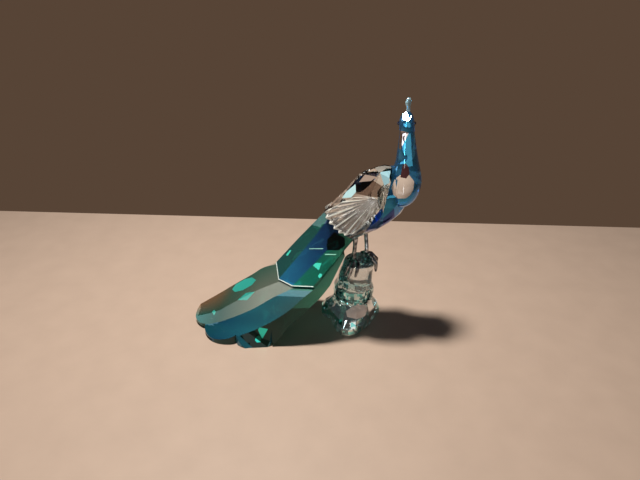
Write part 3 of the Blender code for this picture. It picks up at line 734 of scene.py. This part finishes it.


# %% Flashes of the tail
# The flashes are patches cut into the top and side faces, where they stand for small facets of the underside
# seen through the crystal. A glow patch is a painted flash of light, a foil patch a small tinted mirror, and
# a near-black patch in the crystal a painted dark reflection. Each has its corners, the way it looks, its
# tint and its material slot, and some a depth.
TOP_OUT = (-0.50, -0.50, 0.70)
SIDE_OUT = (-0.08, -0.96, 0.28)
TURQUOISE = (0.03, 0.34, 0.29)
FOIL_TURQUOISE = (0.06, 0.86, 0.76)
SEA_GREEN = (0.06, 0.62, 0.50)
PALE_GREEN = (0.35, 0.72, 0.60)
NEAR_BLACK = (0.002, 0.01, 0.01)
# The pale tint of the coverts' rim is a painted highlight.
RIM_HIGHLIGHT = (0.80, 0.92, 0.90)
TRAIN_FLASHES = [
    ([(-75.6, 9.4, 18.0), (-73.1, 11.2, 20.9), (-67.0, 10.4, 25.2), (-61.9, 8.3, 27.7), (-59.0, 5.2, 27.7),
      (-61.6, 4.4, 24.5), (-67.7, 5.2, 20.2), (-73.3, 6.9, 17.6)], TOP_OUT, TURQUOISE, GLOW),
    ([(-71.1, 1.8, 14.9), (-65.5, 2.6, 19.7), (-59.4, 0.1, 22.4), (-64.4, -2.3, 17.7)],
     TOP_OUT, TURQUOISE, GLOW, 3.0 * MM),
    ([(-88.1, 1.3, 6.0), (-86.9, 2.3, 6.9), (-85.4, 0.6, 6.6), (-86.2, -1.8, 5.9)], TOP_OUT, TURQUOISE, GLOW),
    ([(-55.6, -22.3, 9.9), (-54.8, -21.8, 11.6), (-49.6, -22.9, 11.0), (-53.4, -24.3, 4.4)],
     SIDE_OUT, FOIL_TURQUOISE, FOIL),
    ([(-57.6, -24.2, 3.9), (-56.9, -23.5, 5.6), (-55.1, -23.3, 6.6), (-53.9, -23.8, 5.4), (-54.2, -24.7, 2.8),
      (-56.4, -24.8, 2.6)], SIDE_OUT, FOIL_TURQUOISE, FOIL),
]
COVERTS_FLASHES = [
    ([(-22.8, -9.7, 46.8), (-21.4, -9.5, 48.4), (-17.9, -11.5, 49.5), (-19.3, -13.8, 45.9)],
     TOP_OUT, SEA_GREEN, GLOW),
    ([(-19.9, -16.3, 43.7), (-18.8, -15.7, 45.0), (-17.2, -16.7, 45.2), (-17.4, -17.4, 43.2),
      (-18.8, -17.3, 42.6)], TOP_OUT, SEA_GREEN, GLOW),
    ([(-39.5, 4.4, 46.1), (-37.0, 4.6, 49.4), (-36.2, 3.9, 49.3), (-38.4, 3.3, 46.1)],
     TOP_OUT, SEA_GREEN, GLOW),
    ([(-15.0, -6.8, 58.1), (-14.4, -5.2, 61.9), (-10.5, -5.3, 66.4), (-4.7, -9.3, 64.6), (-4.7, -11.5, 60.8),
      (-7.9, -11.6, 57.9), (-14.4, -8.4, 56.2)], TOP_OUT, NEAR_BLACK, CRYSTAL, 2.5 * MM),
    ([(-25.2, -2.6, 54.5), (-17.0, -6.6, 56.6), (-17.0, -6.8, 56.2), (-25.2, -2.8, 54.1)],
     TOP_OUT, PALE_GREEN, GLOW),
    ([(-15.9, -9.0, 54.1), (-9.6, -12.2, 55.8), (-9.6, -12.5, 55.5), (-15.9, -9.4, 53.8)],
     TOP_OUT, PALE_GREEN, GLOW),
]

train = object_from(train_bm, "train_crystal")
tint_facets(train, train_tint)
facet_undersides(train)
cut_flashes(train, TRAIN_FLASHES)
hand_in(train, (train_crystal, tail_foil, glow_facet), 9.0, "train")

coverts = object_from(coverts_bm, "coverts_crystal")
tint_facets(coverts, coverts_tint)
facet_undersides(coverts)
cut_flashes(coverts, COVERTS_FLASHES)
# The rim's faces take the glow and a pale tint that is a painted highlight along the step.
for face in coverts.data.polygons:
    if face.material_index == RIM:
        face.material_index = GLOW
        paint_face(coverts, face, RIM_HIGHLIGHT)
hand_in(coverts, (coverts_crystal, tail_foil, glow_facet), 9.0, "coverts")

# %% [markdown]
# ## The body
# The back and belly are one clear stone, ground flat all over and glued to its neighbours. The frame already
# holds its facets, so this piece only gets narrow polished edges, which catch the light as fine lines. Its
# larger flashes are cut in as painted light: pale, bluish and brown patches are painted reflections, one dark
# patch is a painted dark reflection, and a patch of blue stone paints the blue of the breast seen through the
# belly.

# %% Body
BODY_GLOW, BODY_BLUE = 1, 2
BODY_TINTS = [
    (0.97, 0.98, 0.98), (0.60, 0.55, 0.52), (0.90, 0.97, 0.98), (0.38, 0.32, 0.30), (0.80, 0.78, 0.75)
]
FLANK_OUT = (-0.43, -0.83, 0.36)
BACK_OUT = (0.0, -0.3, 0.95)
BELLY_OUT = (0.0, -0.98, -0.1)
# The glow patches are painted reflections and highlights, the dark one in the crystal is a painted dark
# reflection, and the blue one paints the breast's blue seen through the belly.
BODY_FLASHES = [
    ([(-6.4, -2.2, 86.0), (-4.3, -2.0, 89.6), (0.8, -2.5, 94.5), (1.1, -4.4, 90.6), (-1.5, -4.4, 87.3)],
     FLANK_OUT, (0.55, 0.86, 0.92), BODY_GLOW),
    ([(1.4, -2.7, 94.6), (9.5, -5.5, 98.0), (14.6, -9.2, 95.9), (13.6, -11.3, 89.8), (6.0, -7.6, 89.7),
      (1.4, -4.9, 89.6)], FLANK_OUT, (0.12, 0.08, 0.06), CRYSTAL),
    ([(2.7, -2.9, 95.8), (5.8, -2.7, 100.1), (12.0, -6.0, 99.9), (9.0, -5.5, 97.4)],
     FLANK_OUT, (0.40, 0.31, 0.26), BODY_GLOW),
    ([(13.5, -5.5, 102.5), (18.0, -7.0, 104.0), (18.5, -10.2, 98.0), (15.5, -10.0, 96.5)],
     FLANK_OUT, (0.30, 0.52, 0.60), BODY_GLOW),
    ([(11.5, -1.0, 102.6), (13.0, -5.2, 102.4), (19.6, -5.2, 102.4), (20.0, 1.0, 103.2), (12.0, 2.0, 103.2)],
     BACK_OUT, (0.23, 0.22, 0.20), BODY_GLOW, 1.5 * MM),
    ([(14.0, -12.0, 86.0), (11.5, -14.1, 81.0), (8.0, -14.3, 76.5), (3.8, -14.4, 71.2), (8.0, -12.5, 69.0),
      (14.0, -12.0, 70.0), (18.0, -12.0, 78.0)], BELLY_OUT, (0.03, 0.16, 0.45), BODY_BLUE, 5.0 * MM),
]


def body_tint(place, centre, normal):
    return pick_by(BODY_TINTS, normal.x * 11.0, normal.y * 7.0, normal.z * 5.0)


body = object_from(node_bmesh("body"), "body_crystal")
bevel(body, 0.10 * MM, degrees=3.0)
tint_facets(body, body_tint)
cut_flashes(body, BODY_FLASHES)
hand_in(body, (clear_crystal, glow_facet, blue_crystal), 3.0, "body")

# %% [markdown]
# ## The neck and the breast
# The breast is faceted and the neck is a smooth drop that grows out of it, both ground from one blue stone.
# A smooth curve through a few measured rings makes the neck, because a reflection shows every kink. The two
# are joined with a Boolean, and each eye gets a round seat.

# %% Neck and breast
# Each ring of the neck: its height, its middle along and across, and half its length and width.
NECK_RINGS = [
    (80.8, 25.2, -1.0, 1.4, 2.6), (82.2, 25.4, -1.0, 3.8, 6.4), (86.2, 26.6, -1.0, 7.4, 11.4),
    (91.5, 28.0, -1.0, 8.6, 12.2), (97.0, 28.7, -0.8, 8.5, 11.2), (102.0, 28.6, -0.6, 7.7, 8.9),
    (107.0, 28.6, -0.8, 6.3, 6.7), (113.0, 28.0, -1.2, 5.3, 5.4), (118.5, 27.6, -1.2, 4.5, 4.6),
    (122.8, 27.3, -0.6, 4.0, 4.3), (126.4, 27.1, 0.6, 4.15, 5.4), (129.4, 26.9, 0.9, 3.7, 5.2),
    (131.8, 27.0, 0.7, 2.7, 3.8), (133.2, 27.2, 0.5, 1.3, 1.8),
]
# Each ring of the breast: its height, its front and half its width.
BREAST_RINGS = [
    (65.4, 11.6, 1.5), (67.8, 15.4, 4.6), (72.0, 21.8, 8.2), (77.5, 27.0, 11.0), (84.0, 31.4, 12.4),
    (91.0, 33.6, 11.0), (97.5, 31.6, 8.0), (103.0, 27.5, 4.0),
]
# Each ring of the beak: its place across the bird, its height and its radius.
BEAK_RINGS = [
    (4.2, 127.0, 2.3), (7.2, 126.4, 1.9), (9.4, 125.7, 1.35), (11.4, 124.7, 0.75), (12.8, 123.8, 0.25)
]
BEAK_X = 27.15
BEAK_WIDTH = 0.9
BREAST_FACE = [(11.0, 64.0), (20.6, 104.3)]
BREAST_BACK = 1.5
TURNED_RING_GROWS = 1.05
BREAST_SIDES, NECK_SIDES, BEAK_SIDES = 10, 64, 24
# A flat facet on the back of the head: a point of its plane and the way out.
HEAD_FACET = {"point": (26.2, -2.75, 130.65), "outward": (-0.297, -0.577, 0.761)}
WELD = 0.00002
EYES = ("eye_right", "eye_left")


def round_angles(count, shift=0.0):
    return [2 * math.pi * (i + shift) / count for i in range(count)]


def neck_ring(z, x, y, across, deep):
    return [(x + math.cos(a) * across, y + math.sin(a) * deep, z) for a in round_angles(NECK_SIDES)]


def breast_ring(k, z, front, half):
    """Every second ring is turned by half a facet, which makes the facets kites."""
    (xa, za), (xb, zb) = BREAST_FACE
    middle = xa + (z - za) * (xb - xa) / (zb - za) + BREAST_BACK
    reach = max(front - middle, 1.0)
    grow = TURNED_RING_GROWS if k % 2 else 1.0
    turns = round_angles(BREAST_SIDES, 0.5 * (k % 2))
    return [(middle + math.cos(a) * reach * grow, math.sin(a) * half * grow, z) for a in turns]


def beak_ring(y, z, radius):
    turns = round_angles(BEAK_SIDES)
    return [(BEAK_X + math.cos(a) * radius * BEAK_WIDTH, y, z + math.sin(a) * radius) for a in turns]


breast = skin([breast_ring(k, *row) for k, row in enumerate(BREAST_RINGS)])
bmesh.ops.triangulate(breast, faces=breast.faces)
grind_across(breast, BREAST_FACE, GLUE_GAP / 2)
neck = skin([neck_ring(*row) for row in curve_through(NECK_RINGS, 5)])
neck = boolean(neck, skin([beak_ring(*row) for row in curve_through(BEAK_RINGS, 4)]), "UNION")
grind(neck, **HEAD_FACET)
blue = boolean(breast, neck, "UNION")
for eye in EYES:
    low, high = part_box(eye)
    seat = bmesh.new()
    bmesh.ops.create_icosphere(seat, subdivisions=3, radius=(high.x - low.x) / 2 + GLUE_GAP * MM)
    bmesh.ops.translate(seat, verts=seat.verts, vec=(low + high) / 2)
    blue = boolean(blue, seat, "DIFFERENCE")
bmesh.ops.remove_doubles(blue, verts=blue.verts, dist=WELD)
bmesh.ops.dissolve_degenerate(blue, dist=WELD, edges=blue.edges)

# %% Blues and reflections of the neck
# A pale oval on the breast is a painted reflection of the table, and a dark wedge over it is a painted dark
# reflection; the bright one below the head is a small white mirror facet.
NECK_FLASHES = [
    ([(19.8, -9.6, 95.2), (21.6, -9.0, 99.2), (24.0, -8.6, 101.8), (28.6, -9.0, 102.2), (31.4, -10.4, 99.0),
      (31.0, -12.0, 95.0), (29.6, -12.8, 92.2), (27.3, -13.2, 90.4), (23.3, -12.4, 89.8),
      (20.8, -11.4, 91.6)], (0.02, -0.95, 0.25), (0.55, 0.455, 0.385), GLOW, 7.0 * MM),
    ([(24.2, -8.6, 100.6), (25.2, -6.8, 106.6), (26.6, -6.8, 108.2), (28.2, -7.6, 106.2), (28.9, -9.1, 102.8),
      (27.2, -9.9, 100.4)], (-0.2, -0.93, 0.30), (0.055, 0.02, 0.022), GLOW, 3.5 * MM),
    ([(23.0, -1.6, 124.0), (24.2, -3.6, 124.2), (26.2, -5.0, 124.0), (27.4, -5.2, 123.2), (25.7, -5.4, 120.0),
      (23.9, -5.2, 114.4), (22.9, -3.4, 114.8)], (-0.62, -0.78, 0.05), (0.98, 0.92, 0.95), FOIL, 3.5 * MM),
]
NECK_BLUE = (0.10, 0.48, 0.90)
BREAST_BLUES = [(0.02, 0.15, 0.48), (0.01, 0.06, 0.27), (0.07, 0.32, 0.60)]
BREAST_TOP_Z = 101.0
THROAT = (28.0, 91.0)
THROAT_RADIUS = 10.5


def blue_tint(place, centre, normal):
    """The neck is one even blue. The breast's facets take turns between three."""
    x, z = THROAT
    if centre.z > BREAST_TOP_Z or (centre - Vector((x, centre.y, z))).length < THROAT_RADIUS:
        return NECK_BLUE
    return pick_by(BREAST_BLUES, normal.x * 7.0, normal.y * 5.0, normal.z * 3.0)


neck_and_breast = object_from(blue, "neck_and_breast_crystal")
tint_facets(neck_and_breast, blue_tint)
cut_flashes(neck_and_breast, NECK_FLASHES)
hand_in(neck_and_breast, (blue_crystal, tail_foil, glow_facet), 22.0, "neck_and_breast")

# %% [markdown]
# ## The eyes and the crest
# The eyes are glossy black beads. The crest is a little fan of pale blue crystal, five drops on a stalk. The
# frame's parts are melted together with a voxel remesh, so the drops run into the stalk as fused glass does.

# %% Eyes and crest
for eye in EYES:
    bead = object_from(node_bmesh(eye), eye + "_bead")
    bead.modifiers.new("round", "SUBSURF").levels = 1
    hand_in(settle(bead), (black_bead,), 60.0, eye)

crest = melt(object_from(node_bmesh("crest"), "crest_fan"), 0.16 * MM, 4, 0.28 * MM)
hand_in(crest, (crest_crystal,), 80.0, "crest")

# %% [markdown]
# ## The wings
# A wing is a fan of cut ribs round one point. A fan follows a rule, so Geometry Nodes make it: a box of many
# small faces is bent into the fan, with its outer side pushed up and down in ribs and its back left flat for
# the glue. The reach of the fan at each angle is a curve, and the ribs' number and height are inputs.

# %% Wings
WING_PIVOT = Vector((12.2, -12.6, 89.8))
WING_TIP = Vector((-17.3, -2.6, 77.2))
WING_LOW = Vector((-3.0, -13.8, 68.8))
WING_REACH = 32.0
WING_EDGE = [
    (-26.0, 5.0), (-22.0, 8.0), (-18.0, 12.4), (-13.0, 16.4), (-7.0, 22.0), (0.0, 32.0), (8.0, 31.6),
    (16.0, 30.4), (24.0, 29.4), (32.0, 27.8), (39.0, 25.0), (44.0, 19.8), (50.0, 13.4), (58.0, 9.6),
    (68.0, 7.0), (80.0, 5.0),
]
WING_GLOW = 1
RIB_SHINE = (0.62, 0.64, 0.60)
RIB_SHINE_FROM = 0.45
RIB_SHINE_WIDTH = 0.07
RIM_SHINE_FROM = 0.95
WING_INPUTS = {
    "Ribs": 15, "Crown": 1.7 * MM, "Rib Height": 0.95 * MM, "Scallop": 1.1 * MM, "Thickness": 1.4 * MM
}
WING_AXES = ("Pivot", "To Tip", "To Low", "Outward")
COLUMNS_PER_RIB = 8.0
ROWS_ALONG = 25
RAY_START, RAY_LENGTH = 0.04, 0.96
FULL_RIB_REACH = 22.0 * MM
DEEPEST_RISE = -0.0004


def build_wing_tree():
    tree = bpy.data.node_groups.new("rib_fan", "GeometryNodeTree")
    face = tree.interface
    face.new_socket("Geometry", in_out="OUTPUT", socket_type="NodeSocketGeometry")
    for name, value in WING_INPUTS.items():
        kind = "NodeSocketInt" if isinstance(value, int) else "NodeSocketFloat"
        face.new_socket(name, in_out="INPUT", socket_type=kind)
    for name in WING_AXES:
        face.new_socket(name, in_out="INPUT", socket_type="NodeSocketVector")
    face.new_socket("Finish", in_out="INPUT", socket_type="NodeSocketMaterial")
    given = wire(tree, "NodeGroupInput").outputs

    def maths(operation, a, b=0.0):
        return wire(tree, "ShaderNodeMath", {0: a, 1: b}, operation=operation).outputs[0]

    def plus(a, b):
        return maths("ADD", a, b)

    def times(first, *others):
        for other in others:
            first = maths("MULTIPLY", first, other)
        return first

    def scaled(vector, amount):
        return wire(tree, "ShaderNodeVectorMath", {0: vector, "Scale": amount}, operation="SCALE").outputs[0]

    def added(a, b):
        return wire(tree, "ShaderNodeVectorMath", {0: a, 1: b}, operation="ADD").outputs[0]

    # A flat box: x goes round the fan from 0 to 1, y goes out from the pivot, and z tells back from front.
    columns = plus(times(given["Ribs"], COLUMNS_PER_RIB), 1.0)
    counts = {"Vertices X": columns, "Vertices Y": ROWS_ALONG, "Vertices Z": 2}
    box = wire(tree, "GeometryNodeMeshCube", {"Size": (1, 1, 1), **counts})
    place = wire(tree, "GeometryNodeInputPosition")
    parts = wire(tree, "ShaderNodeSeparateXYZ", {0: place.outputs[0]}).outputs
    share = plus(parts["X"], 0.5)
    along = plus(times(parts["Y"], RAY_LENGTH), RAY_START + RAY_LENGTH / 2)
    is_outer = maths("GREATER_THAN", parts["Z"], 0.0)

    # The reach of the fan at each angle, as a curve.
    first, last = math.radians(WING_EDGE[0][0]), math.radians(WING_EDGE[-1][0])
    angle = plus(times(share, last - first), first)
    edge = wire(tree, "ShaderNodeFloatCurve", {"Value": share})
    curve = edge.mapping.curves[0]
    while len(curve.points) < len(WING_EDGE):
        curve.points.new(0.5, 0.5)
    for point, (degrees, reach) in zip(curve.points, WING_EDGE):
        point.location = ((math.radians(degrees) - first) / (last - first), reach / WING_REACH)
        point.handle_type = "VECTOR"
    edge.mapping.update()
    fan = times(edge.outputs["Value"], WING_REACH * MM)

    # The ribs are a wave round the fan. It scallops the edge and pushes the outer side up and down.
    wave = times(maths("COSINE", times(share, given["Ribs"], 2 * math.pi)), -1.0)
    wave = times(wave, maths("MINIMUM", maths("DIVIDE", fan, FULL_RIB_REACH), 1.0))
    fan = plus(fan, times(times(given["Scallop"], 0.5), wave))
    crown = times(maths("SINE", times(along, math.pi)), given["Crown"])
    crown = times(crown, maths("SINE", times(share, math.pi)))
    ribs = times(wave, 0.5, given["Rib Height"], along)
    rise = times(maths("MAXIMUM", plus(crown, ribs), DEEPEST_RISE), is_outer)
    rise = plus(rise, times(maths("SUBTRACT", is_outer, 1.0), given["Thickness"]))
    to_tip = scaled(given["To Tip"], maths("COSINE", angle))
    ray = added(to_tip, scaled(given["To Low"], maths("SINE", angle)))
    spot = added(given["Pivot"], scaled(ray, times(fan, along)))
    spot = added(spot, scaled(given["Outward"], rise))
    bent = wire(tree, "GeometryNodeSetPosition", {"Geometry": box.outputs["Mesh"], "Position": spot})
    real = wire(tree, "GeometryNodeRealizeInstances", {"Geometry": bent.outputs[0]})
    done = wire(tree, "GeometryNodeSetMaterial", {"Geometry": real.outputs[0], "Material": given["Finish"]})
    wire(tree, "NodeGroupOutput", {"Geometry": done.outputs[0]})
    return tree


wing_tree = build_wing_tree()
wing_items = [item for item in wing_tree.interface.items_tree if item.in_out == "INPUT"]
wing_sockets = {item.name: item.identifier for item in wing_items}


def wing_axes(side):
    """The pivot, the ways to the tip and to the low edge, and the way out of the face, for one side."""
    flip = Vector((1.0, -side, 1.0))
    pivot, tip, low = (Vector(p * flip) for p in (WING_PIVOT, WING_TIP, WING_LOW))
    to_tip = (tip - pivot).normalized()
    to_low = (low - pivot) - to_tip * (low - pivot).dot(to_tip)
    to_low.normalize()
    outward = to_tip.cross(to_low)
    if outward.y * side < 0:
        outward = -outward
    return (pivot - ORIGIN_SHIFT) * MM, to_tip, to_low, outward


def shining_ribs(bm, pivot, to_tip, to_low, outward):
    """Marks the rim and every second rib on the outer side, whose faces glow."""
    first, last = WING_EDGE[0][0], WING_EDGE[-1][0]
    for face in bm.faces:
        arm = face.calc_center_median() - pivot
        turn = math.degrees(math.atan2(arm.dot(to_low), arm.dot(to_tip)))
        swing = (turn - first) / (last - first) * WING_INPUTS["Ribs"]
        reach = np.interp(turn, [d for d, _ in WING_EDGE], [r for _, r in WING_EDGE])
        share = arm.length / MM / reach
        on_rib = abs(swing % 1.0 - 0.5) < RIB_SHINE_WIDTH and int(swing) % 2 == 0
        shines = share > RIM_SHINE_FROM or (share > RIB_SHINE_FROM and on_rib)
        face.material_index = WING_GLOW if shines and face.normal.dot(outward) > 0.1 else CRYSTAL


for side, node in ((-1, "wing_right"), (1, "wing_left")):
    wing = link(bpy.data.objects.new(node + "_fan", bpy.data.meshes.new(node + "_fan")))
    modifier = wing.modifiers.new("fan", "NODES")
    modifier.node_group = wing_tree
    axes = wing_axes(side)
    for name, value in {**WING_INPUTS, **dict(zip(WING_AXES, axes)), "Finish": wing_crystal}.items():
        modifier[wing_sockets[name]] = tuple(value) if isinstance(value, Vector) else value
    settle(wing)
    fan_bm = bmesh.new()
    fan_bm.from_mesh(wing.data)
    bmesh.ops.remove_doubles(fan_bm, verts=fan_bm.verts, dist=MERGE)
    bmesh.ops.recalc_face_normals(fan_bm, faces=fan_bm.faces)
    shining_ribs(fan_bm, *axes)
    wing.data.materials.clear()
    fan_bm.to_mesh(wing.data)
    fan_bm.free()
    tint_facets(wing, lambda place, centre, normal: RIB_SHINE)
    hand_in(wing, (wing_crystal, glow_facet), 35.0, node)

# %% [markdown]
# ## The rock of crystal
# The stump is cast, not cut: a wavy column with a waist of rough little crystals and soft lobes round its
# foot. The frame's shape is melted into one fine skin, and its tint is told by the height.

# %% Stump
STUMP_AXIS = (2.0, 1.4)
STUMP_BAND = (16.0, 23.5)
STUMP_CHIP = 0.45
STUMP_TINTS = [
    (0.0, (0.45, 0.80, 0.80)), (8.0, (0.70, 0.92, 0.92)), (13.0, (0.97, 0.99, 0.99)),
    (18.0, (0.85, 0.95, 0.95)), (21.0, (0.22, 0.60, 0.62)), (26.0, (0.40, 0.74, 0.76)),
    (28.5, (0.98, 0.99, 0.99)),
]
# A mirror on the right side of the rock, and on its front a pale pane that is a painted picture of the table
# seen through the rock.
STUMP_FLASHES = [
    ([(12.0, -6.5, 19.0), (15.0, -2.0, 19.5), (17.5, -1.5, 10.0), (14.0, -5.0, 3.0), (9.5, -8.5, 5.0)],
     (0.85, -0.50, 0.0), (0.88, 0.94, 0.96), FOIL, 4.0 * MM),
    ([(-2.3, -13.6, 13.0), (-2.9, -11.1, 15.6), (0.8, -10.1, 17.9), (4.4, -9.1, 19.4), (9.6, -7.3, 17.1),
      (10.3, -8.0, 14.1), (9.0, -10.0, 11.1), (3.8, -13.7, 11.5)],
     (0.10, -0.82, 0.50), (0.68, 0.60, 0.55), GLOW, 6.0 * MM),
]
# Bands of the height where small faces of the rock flash: cell size, share of the cells, and tints.
STUMP_FLAKES = [
    ((18.6, 27.6), 1.7, 0.55,
     [(0.75, 0.96, 0.96), (0.10, 0.42, 0.44), (0.02, 0.12, 0.15), (0.30, 0.80, 0.82)]),
    ((0.4, 10.5), 2.6, 0.50, [(0.45, 0.88, 0.86), (0.85, 0.97, 0.96), (0.30, 0.82, 0.82)]),
]
FLAKES_NEAR_Y = 14.0
PATCH_SCALE = 0.35
PATCH_FROM = -0.25


def chip_band(mesh):
    """Two crossing waves and a finer one chip the waist of the rock, and fade out above and below it."""
    low, high = STUMP_BAND
    x, y = STUMP_AXIS
    for v in mesh.vertices:
        p = v.co / MM + ORIGIN_SHIFT
        if low < p.z < high:
            a = math.atan2(p.y - y, p.x - x)
            share = math.sin(math.pi * (p.z - low) / (high - low))
            chip = math.sin(9.0 * a + 1.3 * p.z) * math.cos(7.0 * a - 1.9 * p.z)
            chip = chip + math.sin(17.0 * a + 2.4 * p.z) * 0.5
            v.co += Vector((math.cos(a), math.sin(a), 0.0)) * (STUMP_CHIP * share * chip * MM)


def scatter_flakes(obj):
    """Foils some cells of the surface, in patches, each cell with one of the band's tints."""
    for face in obj.data.polygons:
        p = face.center / MM + ORIGIN_SHIFT
        for (low, high), size, share, tints in STUMP_FLAKES:
            if low < p.z < high and p.y < FLAKES_NEAR_Y:
                flake = noise.cell(p / size)
                if flake < share and noise.noise(p * PATCH_SCALE) > PATCH_FROM:
                    face.material_index = FOIL
                    paint_face(obj, face, tints[int(flake * 97.0 / share) % len(tints)])


stump = melt(object_from(node_bmesh("stump_stand"), "stump_crystal"), 0.50 * MM, 8)
chip_band(stump.data)
tint_facets(stump, lambda place, centre, normal: run(STUMP_TINTS, place.z))
cut_flashes(stump, STUMP_FLASHES)
scatter_flakes(stump)
hand_in(stump, (rock_crystal, tail_foil, glow_facet), 50.0, "stump_stand")

# %% [markdown]
# ## The legs
# The feet are small castings of one dark silvery metal. The frame's tubes are melted together with a voxel
# remesh and smoothed, so the toes run into the ankle as cast metal does.

# %% Legs
for leg in ("leg_right", "leg_left"):
    cast = melt(object_from(node_bmesh(leg), leg + "_casting"), 0.20 * MM, 5, 0.40 * MM)
    hand_in(cast, (dark_silver,), 80.0, leg)

# %% [markdown]
# ## Table, light and air
# The floor is a plain pale sheet. It ends a little behind the bird, so that the head stands before a darker
# air, as it does in the photograph, and the crystals have something dark to show beside the pale table.

# %% Floor
FLOOR_BACK = [(-2.0, 0.2842), (2.0, 0.0308)]
FLOOR_FRONT_Y = -2.0
FLOOR_DROP = -0.00006
FLOOR_STEPS = [(0.0, (0.50, 0.385, 0.315)), (1.0, (0.58, 0.45, 0.37))]

floor_bm = bmesh.new()
(x0, y0), (x1, y1) = FLOOR_BACK
corners = [(x0, FLOOR_FRONT_Y), (x1, FLOOR_FRONT_Y), (x1, y1), (x0, y0)]
floor_bm.faces.new([floor_bm.verts.new((x, y, FLOOR_DROP)) for x, y in corners])
floor = object_from(floor_bm, "floor")
pale_table, floor_tree, floor_shader = new_material("pale_table")
floor_colour = colour_ramp(floor_tree, clouds(floor_tree, scale=60.0, detail=5.0), FLOOR_STEPS)
plug(floor_tree, floor_shader, {"Base Color": floor_colour, "Roughness": 0.55})
floor.data.materials.append(pale_table)

# %% Air
AIR_STEPS = [
    (0.50, (0.19, 0.116, 0.074)),
    (0.60, (0.14, 0.10, 0.08)),
    (0.80, (0.08, 0.075, 0.075)),
    (1.00, (0.10, 0.10, 0.11)),
]
air = bpy.data.worlds.new("studio_air")
bpy.context.scene.world = air
air.use_nodes = True
air_tree = air.node_tree
air_way = wire(air_tree, "ShaderNodeTexCoord").outputs["Generated"]
air_up = wire(air_tree, "ShaderNodeSeparateXYZ", {"Vector": air_way}).outputs["Z"]
air_height = wire(air_tree, "ShaderNodeMapRange", {"Value": air_up, "From Min": -1.0, "From Max": 1.0})
air_colour = colour_ramp(air_tree, air_height.outputs["Result"], AIR_STEPS)
plug(air_tree, air_tree.nodes["Background"], {"Color": air_colour, "Strength": 0.5})

# %% Lamps
WARM = (1.0, 0.92, 0.82)
SOFT_WARM = (1.0, 0.96, 0.90)
NEAR_WHITE = (1.0, 0.98, 0.94)
COOL = (0.95, 0.97, 1.0)
BLUISH = (0.80, 0.93, 1.0)
# Each lamp has its name, place, width and height, watts and colour.
LAMPS = [
    ("key", (-0.078, 0.026, 0.56), (0.06, 0.06), 3.75, WARM),
    ("back_left", (-0.61, 0.34, 0.35), (0.42, 0.42), 0.75, NEAR_WHITE),
    ("neck_strip", (-0.42, -0.66, 0.20), (0.05, 0.40), 0.7, COOL),
    ("front", (0.05, -0.95, 0.20), (1.90, 0.34), 1.5, SOFT_WARM),
    ("left", (-0.72, -0.45, 0.07), (0.75, 0.11), 0.4, COOL),
    ("right", (0.60, 0.05, 0.45), (0.20, 0.20), 0.12, BLUISH),
]
LAMP_AIM = Vector((0.01, 0.0, 0.06))

# The fill lamps light the bird alone, because the photo's shadow is nearly black.
bird_only = bpy.data.collections.new("bird_only")
for piece in handed_in:
    bird_only.objects.link(piece)


def add_lamp(name, place, size, watts, colour):
    """A rectangular soft lamp that lights the bird and shows in its facets, but not in the picture itself."""
    light = bpy.data.lights.new(name, "AREA")
    light.shape = "RECTANGLE"
    light.size, light.size_y = size
    light.energy = watts
    light.color = colour
    lamp = link(bpy.data.objects.new(name, light))
    lamp.location = place
    lamp.rotation_euler = (LAMP_AIM - Vector(place)).to_track_quat("-Z", "Y").to_euler()
    lamp.visible_camera = False
    if name != "key":
        lamp.light_linking.receiver_collection = bird_only


for lamp_values in LAMPS:
    add_lamp(*lamp_values)

# %% Light paths
scene = bpy.context.scene
scene.view_settings.view_transform = "Standard"
scene.cycles.max_bounces = 20
scene.cycles.transmission_bounces = 20
